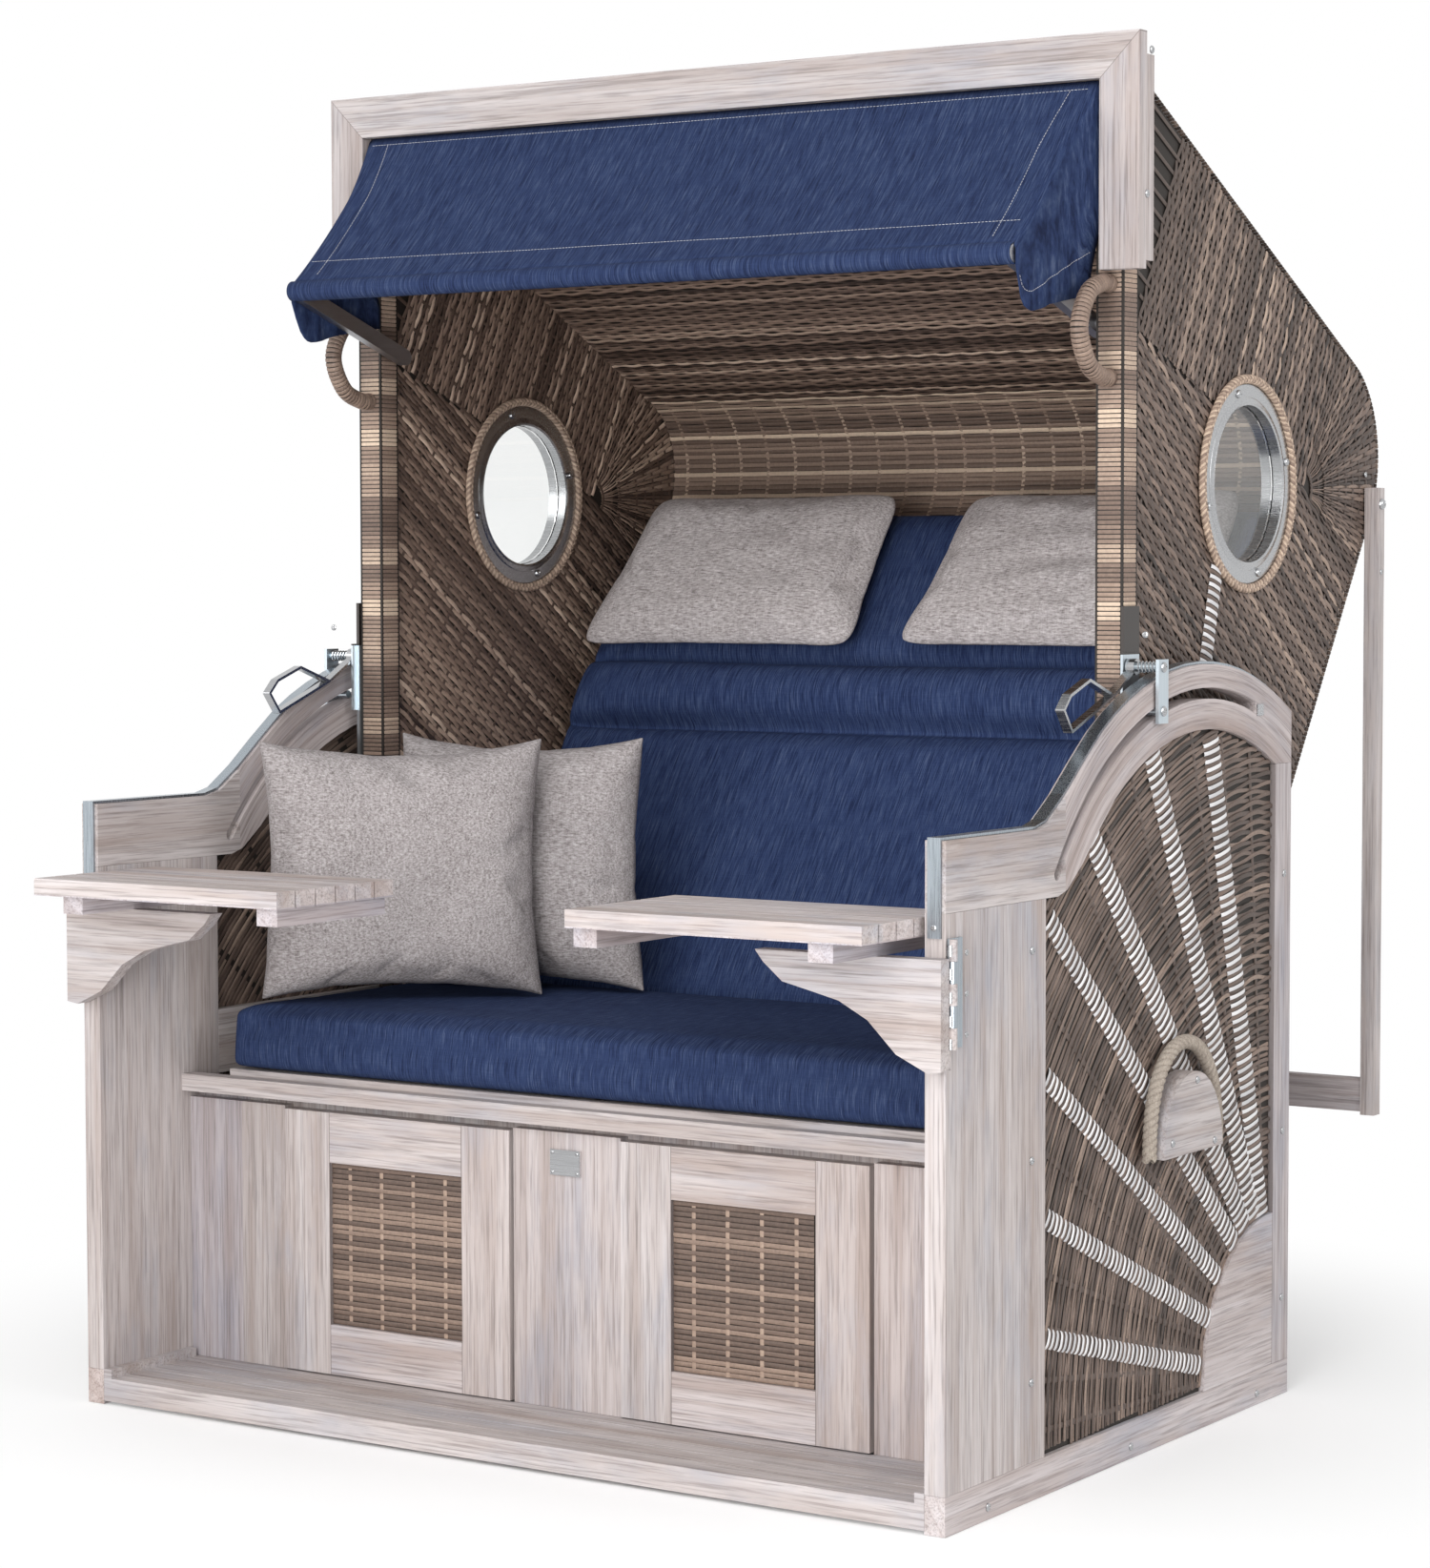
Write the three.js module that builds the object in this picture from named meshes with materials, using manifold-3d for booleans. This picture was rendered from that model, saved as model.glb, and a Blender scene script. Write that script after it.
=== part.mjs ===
// A hooded two-seat beach chair: a wooden lower box with wicker sides, drawers, folding tables
// and a foot deck, and a reclining wicker hood with an awning, portholes and a prop frame.
// Millimetres. X runs to the right, Y to the back, Z up. The origin is under the middle of the chair.
import * as THREE from 'three';
import { mergeVertices } from 'three/addons/utils/BufferGeometryUtils.js';
import Module from 'manifold-3d';

// ---- General sizes ----
const chairWidth = 1200;
const boxDepth = 842;
const fit = 0.3;               // gap between pieces that touch
const running = 3;             // gap beside a piece that slides
const overrun = 5;             // how far a cutting shape runs past a face

// ---- Lower box ----
const boardThickness = 25;
const railHeight = 42;
const frontBoardSetback = 28;      // from the end of the flat armrest's underside
const armrestBottom = 654;
const armrestTop = 729.5;
const armrestSetback = 405;        // from the pivot forward to the end of the flat armrest
const underarmSetback = 360;
const rearPostDepth = 45;
const pivotSetback = 237;          // from the box's rear forward to the pivot
const pivotZ = 420;
const archOuterRadius = 479;
const archInnerRadius = 403;
const slotRadius = 445;
const slotWidth = 13;
const slotRearAngle = 73;
const slotFrontAngle = 144.6;
const flareOuterEnd = 121.4;
const flareInnerEnd = 124.3;
const cornerBoardRadius = 186;
const wickerThickness = 9.5;
const wickerRecess = 2;
const edgeStripWidth = 16;
const edgeStripThickness = 3;
const edgeStripDrop = 102;
const pivotRailThickness = 13;
const pivotRailHeight = 80;
const boltRadius = 8;
const boltHeadRadius = 14;
const boltHeadLength = 8;

// ---- Foot deck, panel and seat ----
const deckDepth = 163;
const deckTop = 32;
const deckThickness = 28;
const deckBoardCount = 5;
const deckGroove = 3;
const liningHeight = 11;
const liningThickness = 12;
const liningDepth = 155;
const panelThickness = 16;
const panelRise = 3;
const plateWidth = 42;
const plateHeight = 30;
const plateThickness = 1.5;
const plateDrop = 50;
const seatRailFront = 147;
const seatRailDepth = 21;
const seatRailLift = 9;
const seatRailHeight = 21;
const slatSideGap = 15;
const slatRise = 8;
const slatThickness = 20;
const slatRearSetback = 15;
const slatCount = 7;
const slatGap = 8;
const slatBattenX = 220;
const crossRailHeight = 30;
const crossRailWidth = 30;
const dividerThickness = 15;
const dividerSetback = 133;
const rearBoardDrop = 43;          // below the seat slats' top
const rearBoardThickness = 20;
const rearBoardSetback = 10;
const rearBoardCount = 3;

// ---- Drawers ----
const drawerFrontSetback = 5;      // ahead of the stiles' front
const drawerGap = 2;               // over the foot deck
const drawerHeight = 320;
const drawerLeftSetback = 155;     // from the side boards' inner faces
const drawerRightSetback = 162;
const middleStileLeft = 80;
const middleStileRight = 79;
const drawerStile = 70;
const drawerSill = 61;
const drawerFrontThickness = 20;
const drawerWickerThickness = 10;
const drawerWickerRecess = 4;
const trayRearGap = 2;
const trayHeight = 240;
const trayWall = 10;
const trayInset = 10;
const runnerWidth = 30;

// ---- Folding tables ----
const tableWidth = 370;
const tableSideGap = 31;
const tableFront = -117;
const tableRear = 94;
const tableDrop = 5.5;             // below the armrest's underside
const tableSlatThickness = 20;
const tableSlatCount = 6;
const tableSlatGap = 3.8;
const battenWidth = 30;
const battenHeight = 20.5;
const battenInset = 6;
const battenOuterInset = 39;
const battenEndInset = 8;
const hingeOffset = 9;             // beyond the side boards' outer faces
const hingeRadius = 4.5;
const hingePinRadius = 1.8;
const hingeHeight = 115;
const hingeTopDrop = 0.5;
const hingeKnuckles = 5;
const hingeLeafThickness = 2.5;
const hingeLeafDepth = 30;
const bracketFront = -22;
const bracketRear = -1;
const bracketDepthBelow = 116;
const bracketLength = 229;

// ---- Rope handles ----
const handleSetback = 69.5;
const handleBottom = 338;
const handleHalfWidth = 75.5;
const handleHeight = 94;
const handleThickness = 24;
const ropeRadius = 10;
const ropeRise = 127;

// ---- Hood ----
const hoodSideGap = 20.5;          // between the hood and the side boards
const hoodPostWidth = 35;
const hoodPostSetback = 123;
const hoodPostDepth = 36;
const hoodPostRise = 200;
const hoodSideThickness = 24.5;
const hoodShellThickness = 24;
const hoodHubRadius = 93.4;
const hoodBackAngle = 55.1;
const hoodRoofSlope = 0.504;
const hoodRoofDrop = 23.2;
const hoodCornerRadius = 130;
const hoodBackDrop = 40;
const frameThickness = 18;
const frameTop = 1616;
const frameBand = 51;
const frameOverhang = 28.5;
const frameLegLength = 267;
const sideStripDepth = 18;
const sideStripInset = 10;

// ---- Portholes ----
const portholeSetback = 203;       // behind the pivot
const portholeDrop = 504;          // below the frame's top
const portholeOpening = 95;
const portholeTube = 108;
const portholeFlange = 120;
const portholeFlangeThickness = 3;
const braidRadius = 137;
const braidThickness = 8;
const glassThickness = 4;

// ---- Grab handles ----
const grabRadius = 10;
const grabDrop = 15;
const grabLength = 106;
const grabBulge = 74;

// ---- Lock on each side ----
const lockBarThickness = 4.2;
const lockBarOverhang = 4;
const lockBarWidth = 38;
const lockBarRise = 20;
const lockBarLength = 327;
const channelThickness = 2.5;
const channelWidth = 40;
const channelBelowRod = 70;
const channelHeight = 86;
const lockSetback = 122;
const rodDrop = 1;                 // below the arch's outer edge
const rodRadius = 5;
const linkGap = 3;
const linkThickness = 4;
const linkWidth = 24;
const linkMargin = 9;
const pinRadius = 5;
const pinInset = 2;
const leverGap = 8;
const leverWidth = 11;
const leverThickness = 3.5;
const leverLength = 175;
const leverEyeRadius = 9.5;
const leverEyeGap = 0.6;
const springWire = 0.9;
const springGap = 0.4;
const springCurls = 6;
const springFromLever = 0.5;

// ---- Awning ----
const awningSetback = 18;
const awningDrop = 59;
const awningArmGap = 6.5;
const awningArmThickness = 12;
const awningArmWidth = 20;
const awningArmTail = 25;
const awningReach = 200;
const awningRise = 68;
const awningBarRadius = 10;
const awningSpacerRadius = 8;
const clothThickness = 3;
const clothFromArm = 1.2;
const clothSag = 9;
const clothSteps = 6;
const clothWrapAngle = 200;
const flapDrop = 62;

// ---- Prop frame ----
const propInset = 19.67;           // ahead of the hood's back line
const propDrop = 107.38;            // below the hood's upper rear corner
const propWidth = 20;
const propThickness = 18.8;
const propRise = 21;
const propLength = 813;
const propGap = 0.6;
const crossbarHeight = 43;
const crossbarThickness = 16;
const crossbarLift = 4;

// ---- Upholstery ----
const seatCushionSideGap = 3;
const seatCushionSetback = 13;
const seatCushionHeight = 84;
const backCushionSideGap = 16;
const backCushionStart = 22;
const backCushionTopGap = 187.45;
const backCushionThickness = 66;
const rollDrop = 368;              // from the cushion's upper end to the roll
const rollWidth = 108;
const rollRise = 20;
const seamDepth = 7;
const seamWidth = 9;
const headrestTrim = 84;
const headrestHeight = 236;
const headrestThickness = 72;
const headrestRise = 14;
const headrestSetbacks = { right: 77, left: 14 };
const throwWidth = 350;
const throwHeight = 322;
const throwThickness = 118;
const throwFront = { fromSide: 160, fromRear: 285, turn: 38 };
const throwBack = { fromSide: 212, fromRear: 104, turn: 7 };

// ---- Worked-out places ----
const fullTurn = 360;
const halfWidth = chairWidth / 2;
const innerX = halfWidth - boardThickness;
const pivotY = boxDepth - pivotSetback;
const armrestDepth = pivotY - armrestSetback;
const armrestBottomDepth = pivotY - underarmSetback;
const frontBoardDepth = armrestBottomDepth - frontBoardSetback;
const rearPostFront = boxDepth - rearPostDepth;
const drawerFrontY = deckDepth - drawerFrontSetback;
const drawerBottom = deckTop + drawerGap;
const drawerTop = drawerBottom + drawerHeight;
const drawerLeft = [drawerLeftSetback - innerX, -middleStileLeft];
const drawerRight = [middleStileRight, innerX - drawerRightSetback];
const panelTop = drawerTop + panelRise;
const plateBottom = panelTop - plateDrop;
const seatRailBottom = panelTop + seatRailLift;
const slatTop = seatRailBottom + seatRailHeight + slatRise;
const slatRearEnd = pivotY - slatRearSetback;
const rearBoardTop = slatTop - rearBoardDrop;
const dividerOffset = innerX - dividerSetback;
const trayDepth = slatRearEnd - crossRailWidth - trayRearGap - drawerFrontY - drawerFrontThickness;
const tableOuterX = halfWidth - tableSideGap;
const tableInnerX = tableOuterX - tableWidth;
const tableTopZ = armrestBottom - tableDrop;
const hingeX = halfWidth + hingeOffset;
const hingeTop = tableTopZ - tableSlatThickness - hingeTopDrop;
const hingeBottom = hingeTop - hingeHeight;
const handleY = pivotY - handleSetback;
const hoodOuterX = innerX - hoodSideGap;
const hoodInnerX = hoodOuterX - hoodSideThickness;
const slatHalfSpan = hoodInnerX - slatSideGap;
const hoodPostFront = pivotY - hoodPostSetback;
const hoodPostRear = hoodPostFront + hoodPostDepth;
const hoodPostBottom = pivotZ + hoodPostRise;
const hoodRoofFrontZ = frameTop - hoodRoofDrop;
const frameFront = hoodPostFront - frameThickness;
const frameHalfWidth = hoodOuterX + frameOverhang;
const frameLegBottom = frameTop - frameLegLength;
const portholeY = pivotY + portholeSetback;
const portholeZ = frameTop - portholeDrop;
const grabX = hoodOuterX - hoodPostWidth / 2;
const grabTop = frameLegBottom - grabDrop;
const grabBottom = grabTop - grabLength;
const lockBarBottom = hoodPostBottom + lockBarRise;
const lockBarTop = lockBarBottom + lockBarLength;
const lockY = pivotY - lockSetback;
const rodZ = pivotZ + archOuterRadius - rodDrop;
const channelBottom = rodZ - channelBelowRod;
const linkX = halfWidth + linkGap;
const pinInnerX = innerX + pinInset;
const leverX = hoodOuterX + leverGap;
const awningY = hoodPostFront + awningSetback;
const awningZ = frameLegBottom - awningDrop;
const awningArmX = hoodOuterX - hoodPostWidth - awningArmGap - awningArmThickness;
const awningBarY = awningY - awningReach;
const awningBarZ = awningZ + awningRise;
const backAlong = [Math.cos(radians(hoodBackAngle)), Math.sin(radians(hoodBackAngle))];
const [cornerY, cornerZ] = hoodCorner();
const propZ = cornerZ - propDrop;
const propTop = propZ + propRise;
const propBottom = propTop - propLength;
const propY = pivotY + (propZ - pivotZ) / Math.tan(radians(hoodBackAngle))
  + hoodHubRadius / Math.sin(radians(hoodBackAngle)) - propInset;
const seatCushionHalf = slatHalfSpan - seatCushionSideGap;
const seatCushionFront = seatRailFront + seatCushionSetback;
const seatCushionRear = slatRearEnd;
const backCushionHalf = hoodInnerX - backCushionSideGap;
const headrestWidth = backCushionHalf - headrestTrim;
const archFoot = pivotZ + Math.sqrt(archInnerRadius ** 2 - (rearPostFront - pivotY) ** 2);
const archRearAngle = degrees(Math.acos((boxDepth - pivotY) / archOuterRadius));
const archInnerRearAngle = degrees(Math.acos((rearPostFront - pivotY) / archInnerRadius));

// ---- Shapes ----
const wasm = await Module();
wasm.setup();

function degrees(radians) {
  return radians * 180 / Math.PI;
}

function radians(angle) {
  return angle * Math.PI / 180;
}

// A geometry with shared corners, no empty triangles and its faces pointing out.
function bare(geometry) {
  const copy = geometry.clone();
  copy.deleteAttribute('normal');
  copy.deleteAttribute('uv');
  const g = mergeVertices(copy, 1e-4);
  const old = g.index.array;
  const p = g.attributes.position;
  const [a, b, c] = [new THREE.Vector3(), new THREE.Vector3(), new THREE.Vector3()];
  const index = [];
  let volume = 0;
  for (let i = 0; i < old.length; i += 3) {
    const [i0, i1, i2] = [old[i], old[i + 1], old[i + 2]];
    if (i0 !== i1 && i1 !== i2 && i2 !== i0) {
      a.fromBufferAttribute(p, i0);
      b.fromBufferAttribute(p, i1);
      c.fromBufferAttribute(p, i2);
      volume += a.dot(b.cross(c));
      index.push(i0, i1, i2);
    }
  }
  g.setIndex(volume < 0 ? index.reverse() : index);
  return g;
}

function toSolid(geometry) {
  const g = bare(geometry);
  const vertProperties = new Float32Array(g.attributes.position.array);
  const triVerts = new Uint32Array(g.index.array);
  return new wasm.Manifold(new wasm.Mesh({ numProp: 3, vertProperties, triVerts }));
}

function fromSolid(solid) {
  const mesh = solid.getMesh();
  const g = new THREE.BufferGeometry();
  g.setAttribute('position', new THREE.BufferAttribute(mesh.vertProperties, 3));
  g.setIndex(new THREE.BufferAttribute(mesh.triVerts, 1));
  g.computeVertexNormals();
  return g;
}

function join(geometries) {
  return fromSolid(geometries.map(toSolid).reduce((a, b) => a.add(b)));
}

function cut(geometry, tools) {
  return fromSolid(tools.map(toSolid).reduce((a, b) => a.subtract(b), toSolid(geometry)));
}

// The same geometry on the other side of the middle plane X = 0.
function mirrored(geometry) {
  const g = geometry.clone();
  g.scale(-1, 1, 1);
  const turned = bare(g);
  turned.computeVertexNormals();
  return turned;
}

function pair(geometry) {
  return join([geometry, mirrored(geometry)]);
}

// A box between two places on each axis.
function block(x0, x1, y0, y1, z0, z1) {
  const g = new THREE.BoxGeometry(x1 - x0, y1 - y0, z1 - z0);
  g.translate((x0 + x1) / 2, (y0 + y1) / 2, (z0 + z1) / 2);
  return g;
}

// A flat plate drawn as an outline with holes, all of them lists of two-number points.
function plate(outline, thickness, holes) {
  const points = outline.map(([a, b]) => new THREE.Vector2(a, b));
  if (THREE.ShapeUtils.area(points) < 0) {
    points.reverse();
  }
  const shape = new THREE.Shape(points);
  shape.holes = holes.map(hole => new THREE.Path(hole.map(([a, b]) => new THREE.Vector2(a, b))));
  return new THREE.ExtrudeGeometry(shape, { depth: thickness, bevelEnabled: false, steps: 1 });
}

// A plate standing in the YZ plane: its outline holds [y, z] points.
function sidePlate(outline, x0, x1, holes = []) {
  const g = plate(outline, x1 - x0, holes);
  g.applyMatrix4(new THREE.Matrix4().makeBasis(
    new THREE.Vector3(0, 1, 0), new THREE.Vector3(0, 0, 1), new THREE.Vector3(1, 0, 0)));
  g.translate(x0, 0, 0);
  return g;
}

// A plate standing in the XZ plane: its outline holds [x, z] points.
function frontPlate(outline, y0, y1, holes = []) {
  const g = plate(outline, y1 - y0, holes);
  g.rotateX(Math.PI / 2);
  g.translate(0, y1, 0);
  return g;
}

// Points [y, z] on an arc; the angle is counted from +Y towards +Z.
function arc(y, z, radius, from, to, steps) {
  const points = [];
  for (let i = 0; i <= steps; i += 1) {
    const angle = radians(from + (to - from) * i / steps);
    points.push([y + radius * Math.cos(angle), z + radius * Math.sin(angle)]);
  }
  return points;
}

// A closed ring of points [y, z].
function circle(y, z, radius, count) {
  return arc(y, z, radius, 0, fullTurn * (count - 1) / count, count - 1);
}

// A round bar along X.
function barX(radius, x0, x1, y, z, sides = 16) {
  const g = new THREE.CylinderGeometry(radius, radius, x1 - x0, sides);
  g.rotateZ(Math.PI / 2);
  g.translate((x0 + x1) / 2, y, z);
  return g;
}

// A round bar along Z.
function barZ(radius, x, y, z0, z1, sides = 10) {
  const g = new THREE.CylinderGeometry(radius, radius, z1 - z0, sides);
  g.rotateX(Math.PI / 2);
  g.translate(x, y, (z0 + z1) / 2);
  return g;
}

// A turned piece about an axis along X: its profile holds [radius, x] points.
function turnedX(profile, y, z, sides = 16) {
  const points = profile.map(([r, x]) => new THREE.Vector2(r, x));
  const g = new THREE.LatheGeometry(points, sides);
  g.rotateZ(-Math.PI / 2);
  g.translate(0, y, z);
  return g;
}

// A line moved sideways to its left by a distance, with sharp corners kept.
function shifted(line, distance) {
  return line.map((point, i) => {
    const before = line[Math.max(i - 1, 0)];
    const after = line[Math.min(i + 1, line.length - 1)];
    const a = new THREE.Vector2(point[0] - before[0], point[1] - before[1]).normalize();
    const b = new THREE.Vector2(after[0] - point[0], after[1] - point[1]).normalize();
    const first = i === 0 ? b : a;
    const last = i === line.length - 1 ? a : b;
    const normal = new THREE.Vector2(-first.y - last.y, first.x + last.x).normalize();
    const reach = distance / (normal.x * -first.y + normal.y * first.x);
    return [point[0] + normal.x * reach, point[1] + normal.y * reach];
  });
}

// A strip that follows a line, between two distances to its left.
function ribbon(line, near, far) {
  return [...shifted(line, near), ...shifted(line, far).reverse()];
}

// A round tube along points [x, y, z].
function tube(points, radius, steps, sides) {
  const curve = new THREE.CatmullRomCurve3(points.map(p => new THREE.Vector3(...p)));
  const section = new THREE.Shape();
  for (let i = 0; i < sides; i += 1) {
    const angle = 2 * Math.PI * i / sides;
    const place = [radius * Math.cos(angle), radius * Math.sin(angle)];
    if (i === 0) {
      section.moveTo(...place);
    } else {
      section.lineTo(...place);
    }
  }
  section.closePath();
  return new THREE.ExtrudeGeometry(section, { steps, bevelEnabled: false, extrudePath: curve });
}

// ---- Looks ----
const looks = {
  timber: { color: 0xb5aca2, roughness: 0.8, metalness: 0 },
  wicker: { color: 0x5d4c42, roughness: 0.75, metalness: 0 },
  winding: { color: 0x8d7a68, roughness: 0.7, metalness: 0 },
  zinc: { color: 0xaab0b4, roughness: 0.4, metalness: 1 },
  painted: { color: 0x4a4440, roughness: 0.55, metalness: 0 },
  plastic: { color: 0x8c8f92, roughness: 0.5, metalness: 0 },
  navy: { color: 0x27304f, roughness: 0.95, metalness: 0 },
  linen: { color: 0xa39a8e, roughness: 0.95, metalness: 0 },
  rope: { color: 0xb3a48c, roughness: 0.9, metalness: 0 },
  glass: { color: 0xd8e0e0, roughness: 0.1, metalness: 0 },
};

const part = new THREE.Group();

function add(name, geometry, look, group = part) {
  const closed = bare(geometry);
  closed.computeVertexNormals();
  const mesh = new THREE.Mesh(closed, new THREE.MeshStandardMaterial(looks[look]));
  mesh.name = name;
  group.add(mesh);
  return mesh;
}

// The right piece as designed, and its mirror image on the left.
function addSides(name, geometry, look) {
  add(`${name}_right`, geometry, look);
  add(`${name}_left`, mirrored(geometry), look);
}

// ---- Lower box ----
const flareOuterPoints = flareLine(armrestDepth, armrestTop, archOuterRadius, flareOuterEnd);
const flareInnerPoints = flareLine(armrestBottomDepth, armrestBottom, archInnerRadius, flareInnerEnd);

// The hollow sweep from the flat armrest up into the arch.
function flareLine(startY, startZ, radius, endAngle) {
  const end = arc(pivotY, pivotZ, radius, endAngle, endAngle, 1)[0];
  const sweepShares = [[0.16, 0.06], [0.43, 0.33], [0.72, 0.68]];
  const middle = sweepShares.map(([y, z]) => [startY + (end[0] - startY) * y, startZ + (end[1] - startZ) * z]);
  return [[startY, startZ], ...middle];
}

const archTopLine = [
  [0, armrestTop],
  ...flareOuterPoints,
  ...arc(pivotY, pivotZ, archOuterRadius, flareOuterEnd, archRearAngle, 14),
];
const archBottomLine = [
  [0, armrestBottom],
  ...flareInnerPoints,
  ...arc(pivotY, pivotZ, archInnerRadius, flareInnerEnd, archInnerRearAngle, 14),
];

// The slot runs along the middle of the arch and is round at both ends.
function archSlot() {
  const half = slotWidth / 2;
  const round = (angle, start) => {
    const [y, z] = arc(pivotY, pivotZ, slotRadius, angle, angle, 1)[0];
    return arc(y, z, half, start, start + fullTurn / 2, 6).slice(1, -1);
  };
  return [
    ...arc(pivotY, pivotZ, slotRadius + half, slotRearAngle, slotFrontAngle, 20),
    ...round(slotFrontAngle, slotFrontAngle),
    ...arc(pivotY, pivotZ, slotRadius - half, slotFrontAngle, slotRearAngle, 20),
    ...round(slotRearAngle, slotRearAngle + fullTurn / 2),
  ];
}

const archBoard = sidePlate(
  [...archTopLine, [boxDepth, archFoot], ...archBottomLine.slice().reverse()],
  innerX, halfWidth, [archSlot()]);

addSides('front_board',
  block(innerX, halfWidth, 0, frontBoardDepth, railHeight + fit, armrestBottom - fit), 'timber');
addSides('arch_board', archBoard, 'timber');
const rearPost = block(innerX, halfWidth, rearPostFront, boxDepth, railHeight + fit, archFoot - fit);

// The wicker filling stands between the boards, a little behind their outer face.
const wickerOuterX = halfWidth - wickerRecess;
const wickerOuterLine = [
  [frontBoardDepth + fit, railHeight + fit],
  ...arc(rearPostFront - fit, railHeight + fit, cornerBoardRadius + fit, 180, 90, 10),
  [rearPostFront - fit, archFoot - fit],
  ...archBottomLine.slice(1, -1).reverse().map(([y, z]) => [y + fit, z - fit]),
  [frontBoardDepth + fit, armrestBottom - fit],
];
addSides('side_wicker',
  sidePlate(wickerOuterLine, wickerOuterX - wickerThickness, wickerOuterX), 'wicker');
const cornerBoard = sidePlate([
  [rearPostFront + fit, railHeight + fit], [rearPostFront + fit, railHeight + fit + cornerBoardRadius],
  ...arc(rearPostFront - fit, railHeight + fit, cornerBoardRadius, 90, 180, 10),
], innerX, halfWidth);

const stripLine = [
  [-fit, armrestTop + fit - edgeStripDrop],
  ...shifted([[0, armrestTop - edgeStripDrop], ...archTopLine], fit).slice(1),
];
const stripMiddle = halfWidth - boardThickness / 2;
addSides('edge_strip', sidePlate(ribbon(stripLine, 0, edgeStripThickness),
  stripMiddle - edgeStripWidth / 2, stripMiddle + edgeStripWidth / 2), 'zinc');

// The timber behind the wicker with the bolt that the hood turns on.
const pivotRail = sidePlate([
  [frontBoardDepth + fit, pivotZ - pivotRailHeight / 2],
  [rearPostFront - fit, pivotZ - pivotRailHeight / 2],
  [rearPostFront - fit, pivotZ + pivotRailHeight / 2],
  [frontBoardDepth + fit, pivotZ + pivotRailHeight / 2],
], innerX, innerX + pivotRailThickness);
const boltHeadX = hoodInnerX - fit - boltHeadLength;
const pivotBolt = turnedX([
  [0, boltHeadX], [boltHeadRadius, boltHeadX], [boltHeadRadius, hoodInnerX - fit],
  [boltRadius, hoodInnerX - fit], [boltRadius, hoodOuterX + fit],
  [boltHeadRadius, hoodOuterX + fit], [boltHeadRadius, innerX - fit],
  [boltRadius, innerX - fit], [boltRadius, innerX + pivotRailThickness / 2],
  [0, innerX + pivotRailThickness / 2],
], pivotY, pivotZ);
addSides('pivot_mount', join([pivotRail, pivotBolt]), 'timber');

// ---- Foot deck and front panel ----
const deckX = innerX - fit;
const deckBoardPitch = deckDepth / deckBoardCount;
const deckGrooves = [];
for (let i = 1; i < deckBoardCount; i += 1) {
  const y = i * deckBoardPitch;
  deckGrooves.push(block(-halfWidth, halfWidth, y - deckGroove / 2, y + deckGroove / 2,
    deckTop - deckGroove, deckTop + overrun));
}
const deckLining = block(deckX - liningThickness, deckX, 0, liningDepth, deckTop - deckGroove,
  deckTop + liningHeight);
add('foot_deck', join([
  cut(block(-deckX, deckX, 0, deckDepth, deckTop - deckThickness, deckTop), deckGrooves),
  deckLining, mirrored(deckLining),
]), 'timber');

const panelX = innerX - fit;
const panelBack = deckDepth + panelThickness;
const stiles = [
  [-panelX, drawerLeft[0] - running],
  [drawerLeft[1] + running, drawerRight[0] - running],
  [drawerRight[1] + running, panelX],
];
const blankPlate = block(-plateWidth / 2, plateWidth / 2, deckDepth - plateThickness, deckDepth + fit,
  plateBottom, plateBottom + plateHeight);
const panelBeamRear = seatRailFront + seatRailDepth + crossRailWidth;
add('front_panel', join([
  ...stiles.map(([a, b]) => block(a, b, deckDepth, panelBack, deckTop + fit, panelTop)),
  block(-panelX, panelX, panelBack - fit, panelBeamRear, panelTop - crossRailHeight,
    slatTop - slatThickness - fit),
  blankPlate,
]), 'timber');

add('seat_rail', block(-panelX, panelX, seatRailFront, seatRailFront + seatRailDepth,
  seatRailBottom, seatRailBottom + seatRailHeight), 'timber');

const slatFront = seatRailFront + seatRailDepth + fit;
const slatPitch = (slatRearEnd - slatFront + slatGap) / slatCount;
const slatBottom = slatTop - slatThickness;
const slats = [];
for (let i = 0; i < slatCount; i += 1) {
  const y = slatFront + i * slatPitch;
  slats.push(block(-slatHalfSpan, slatHalfSpan, y, y + slatPitch - slatGap, slatBottom, slatTop));
}
for (const x of [-slatBattenX, slatBattenX]) {
  slats.push(block(x - crossRailWidth / 2, x + crossRailWidth / 2, panelBeamRear + fit, slatRearEnd,
    slatBottom - slatThickness, slatBottom + fit));
}
add('seat_slats', join(slats), 'timber');

// The bottom frame: rails, cross rails, the dividers that carry the seat and the drawer runners.
const dividerTop = slatBottom - fit;
const crossTop = deckTop - deckThickness + crossRailHeight;
const runnerTop = drawerBottom + drawerFrontThickness / 2 - fit;
const supportFront = panelBeamRear + fit;
const bottomRail = block(innerX, halfWidth, 0, boxDepth, 0, railHeight);
const supports = [bottomRail, mirrored(bottomRail)];
for (const y of [supportFront, slatRearEnd - crossRailWidth]) {
  supports.push(block(-innerX - fit, innerX + fit, y, y + crossRailWidth, deckTop - deckThickness, crossTop));
}
for (const x of [-dividerOffset, 0, dividerOffset]) {
  supports.push(block(x - dividerThickness / 2, x + dividerThickness / 2, supportFront, slatRearEnd,
    deckTop - deckThickness, dividerTop));
}
for (const [a, b] of [drawerLeft, drawerRight]) {
  for (const x of [a + trayInset, b - trayInset - runnerWidth]) {
    supports.push(block(x, x + runnerWidth, supportFront, slatRearEnd, crossTop - crossRailHeight / 2,
      runnerTop));
  }
}
add('base_frame', join(supports), 'timber');

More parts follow.
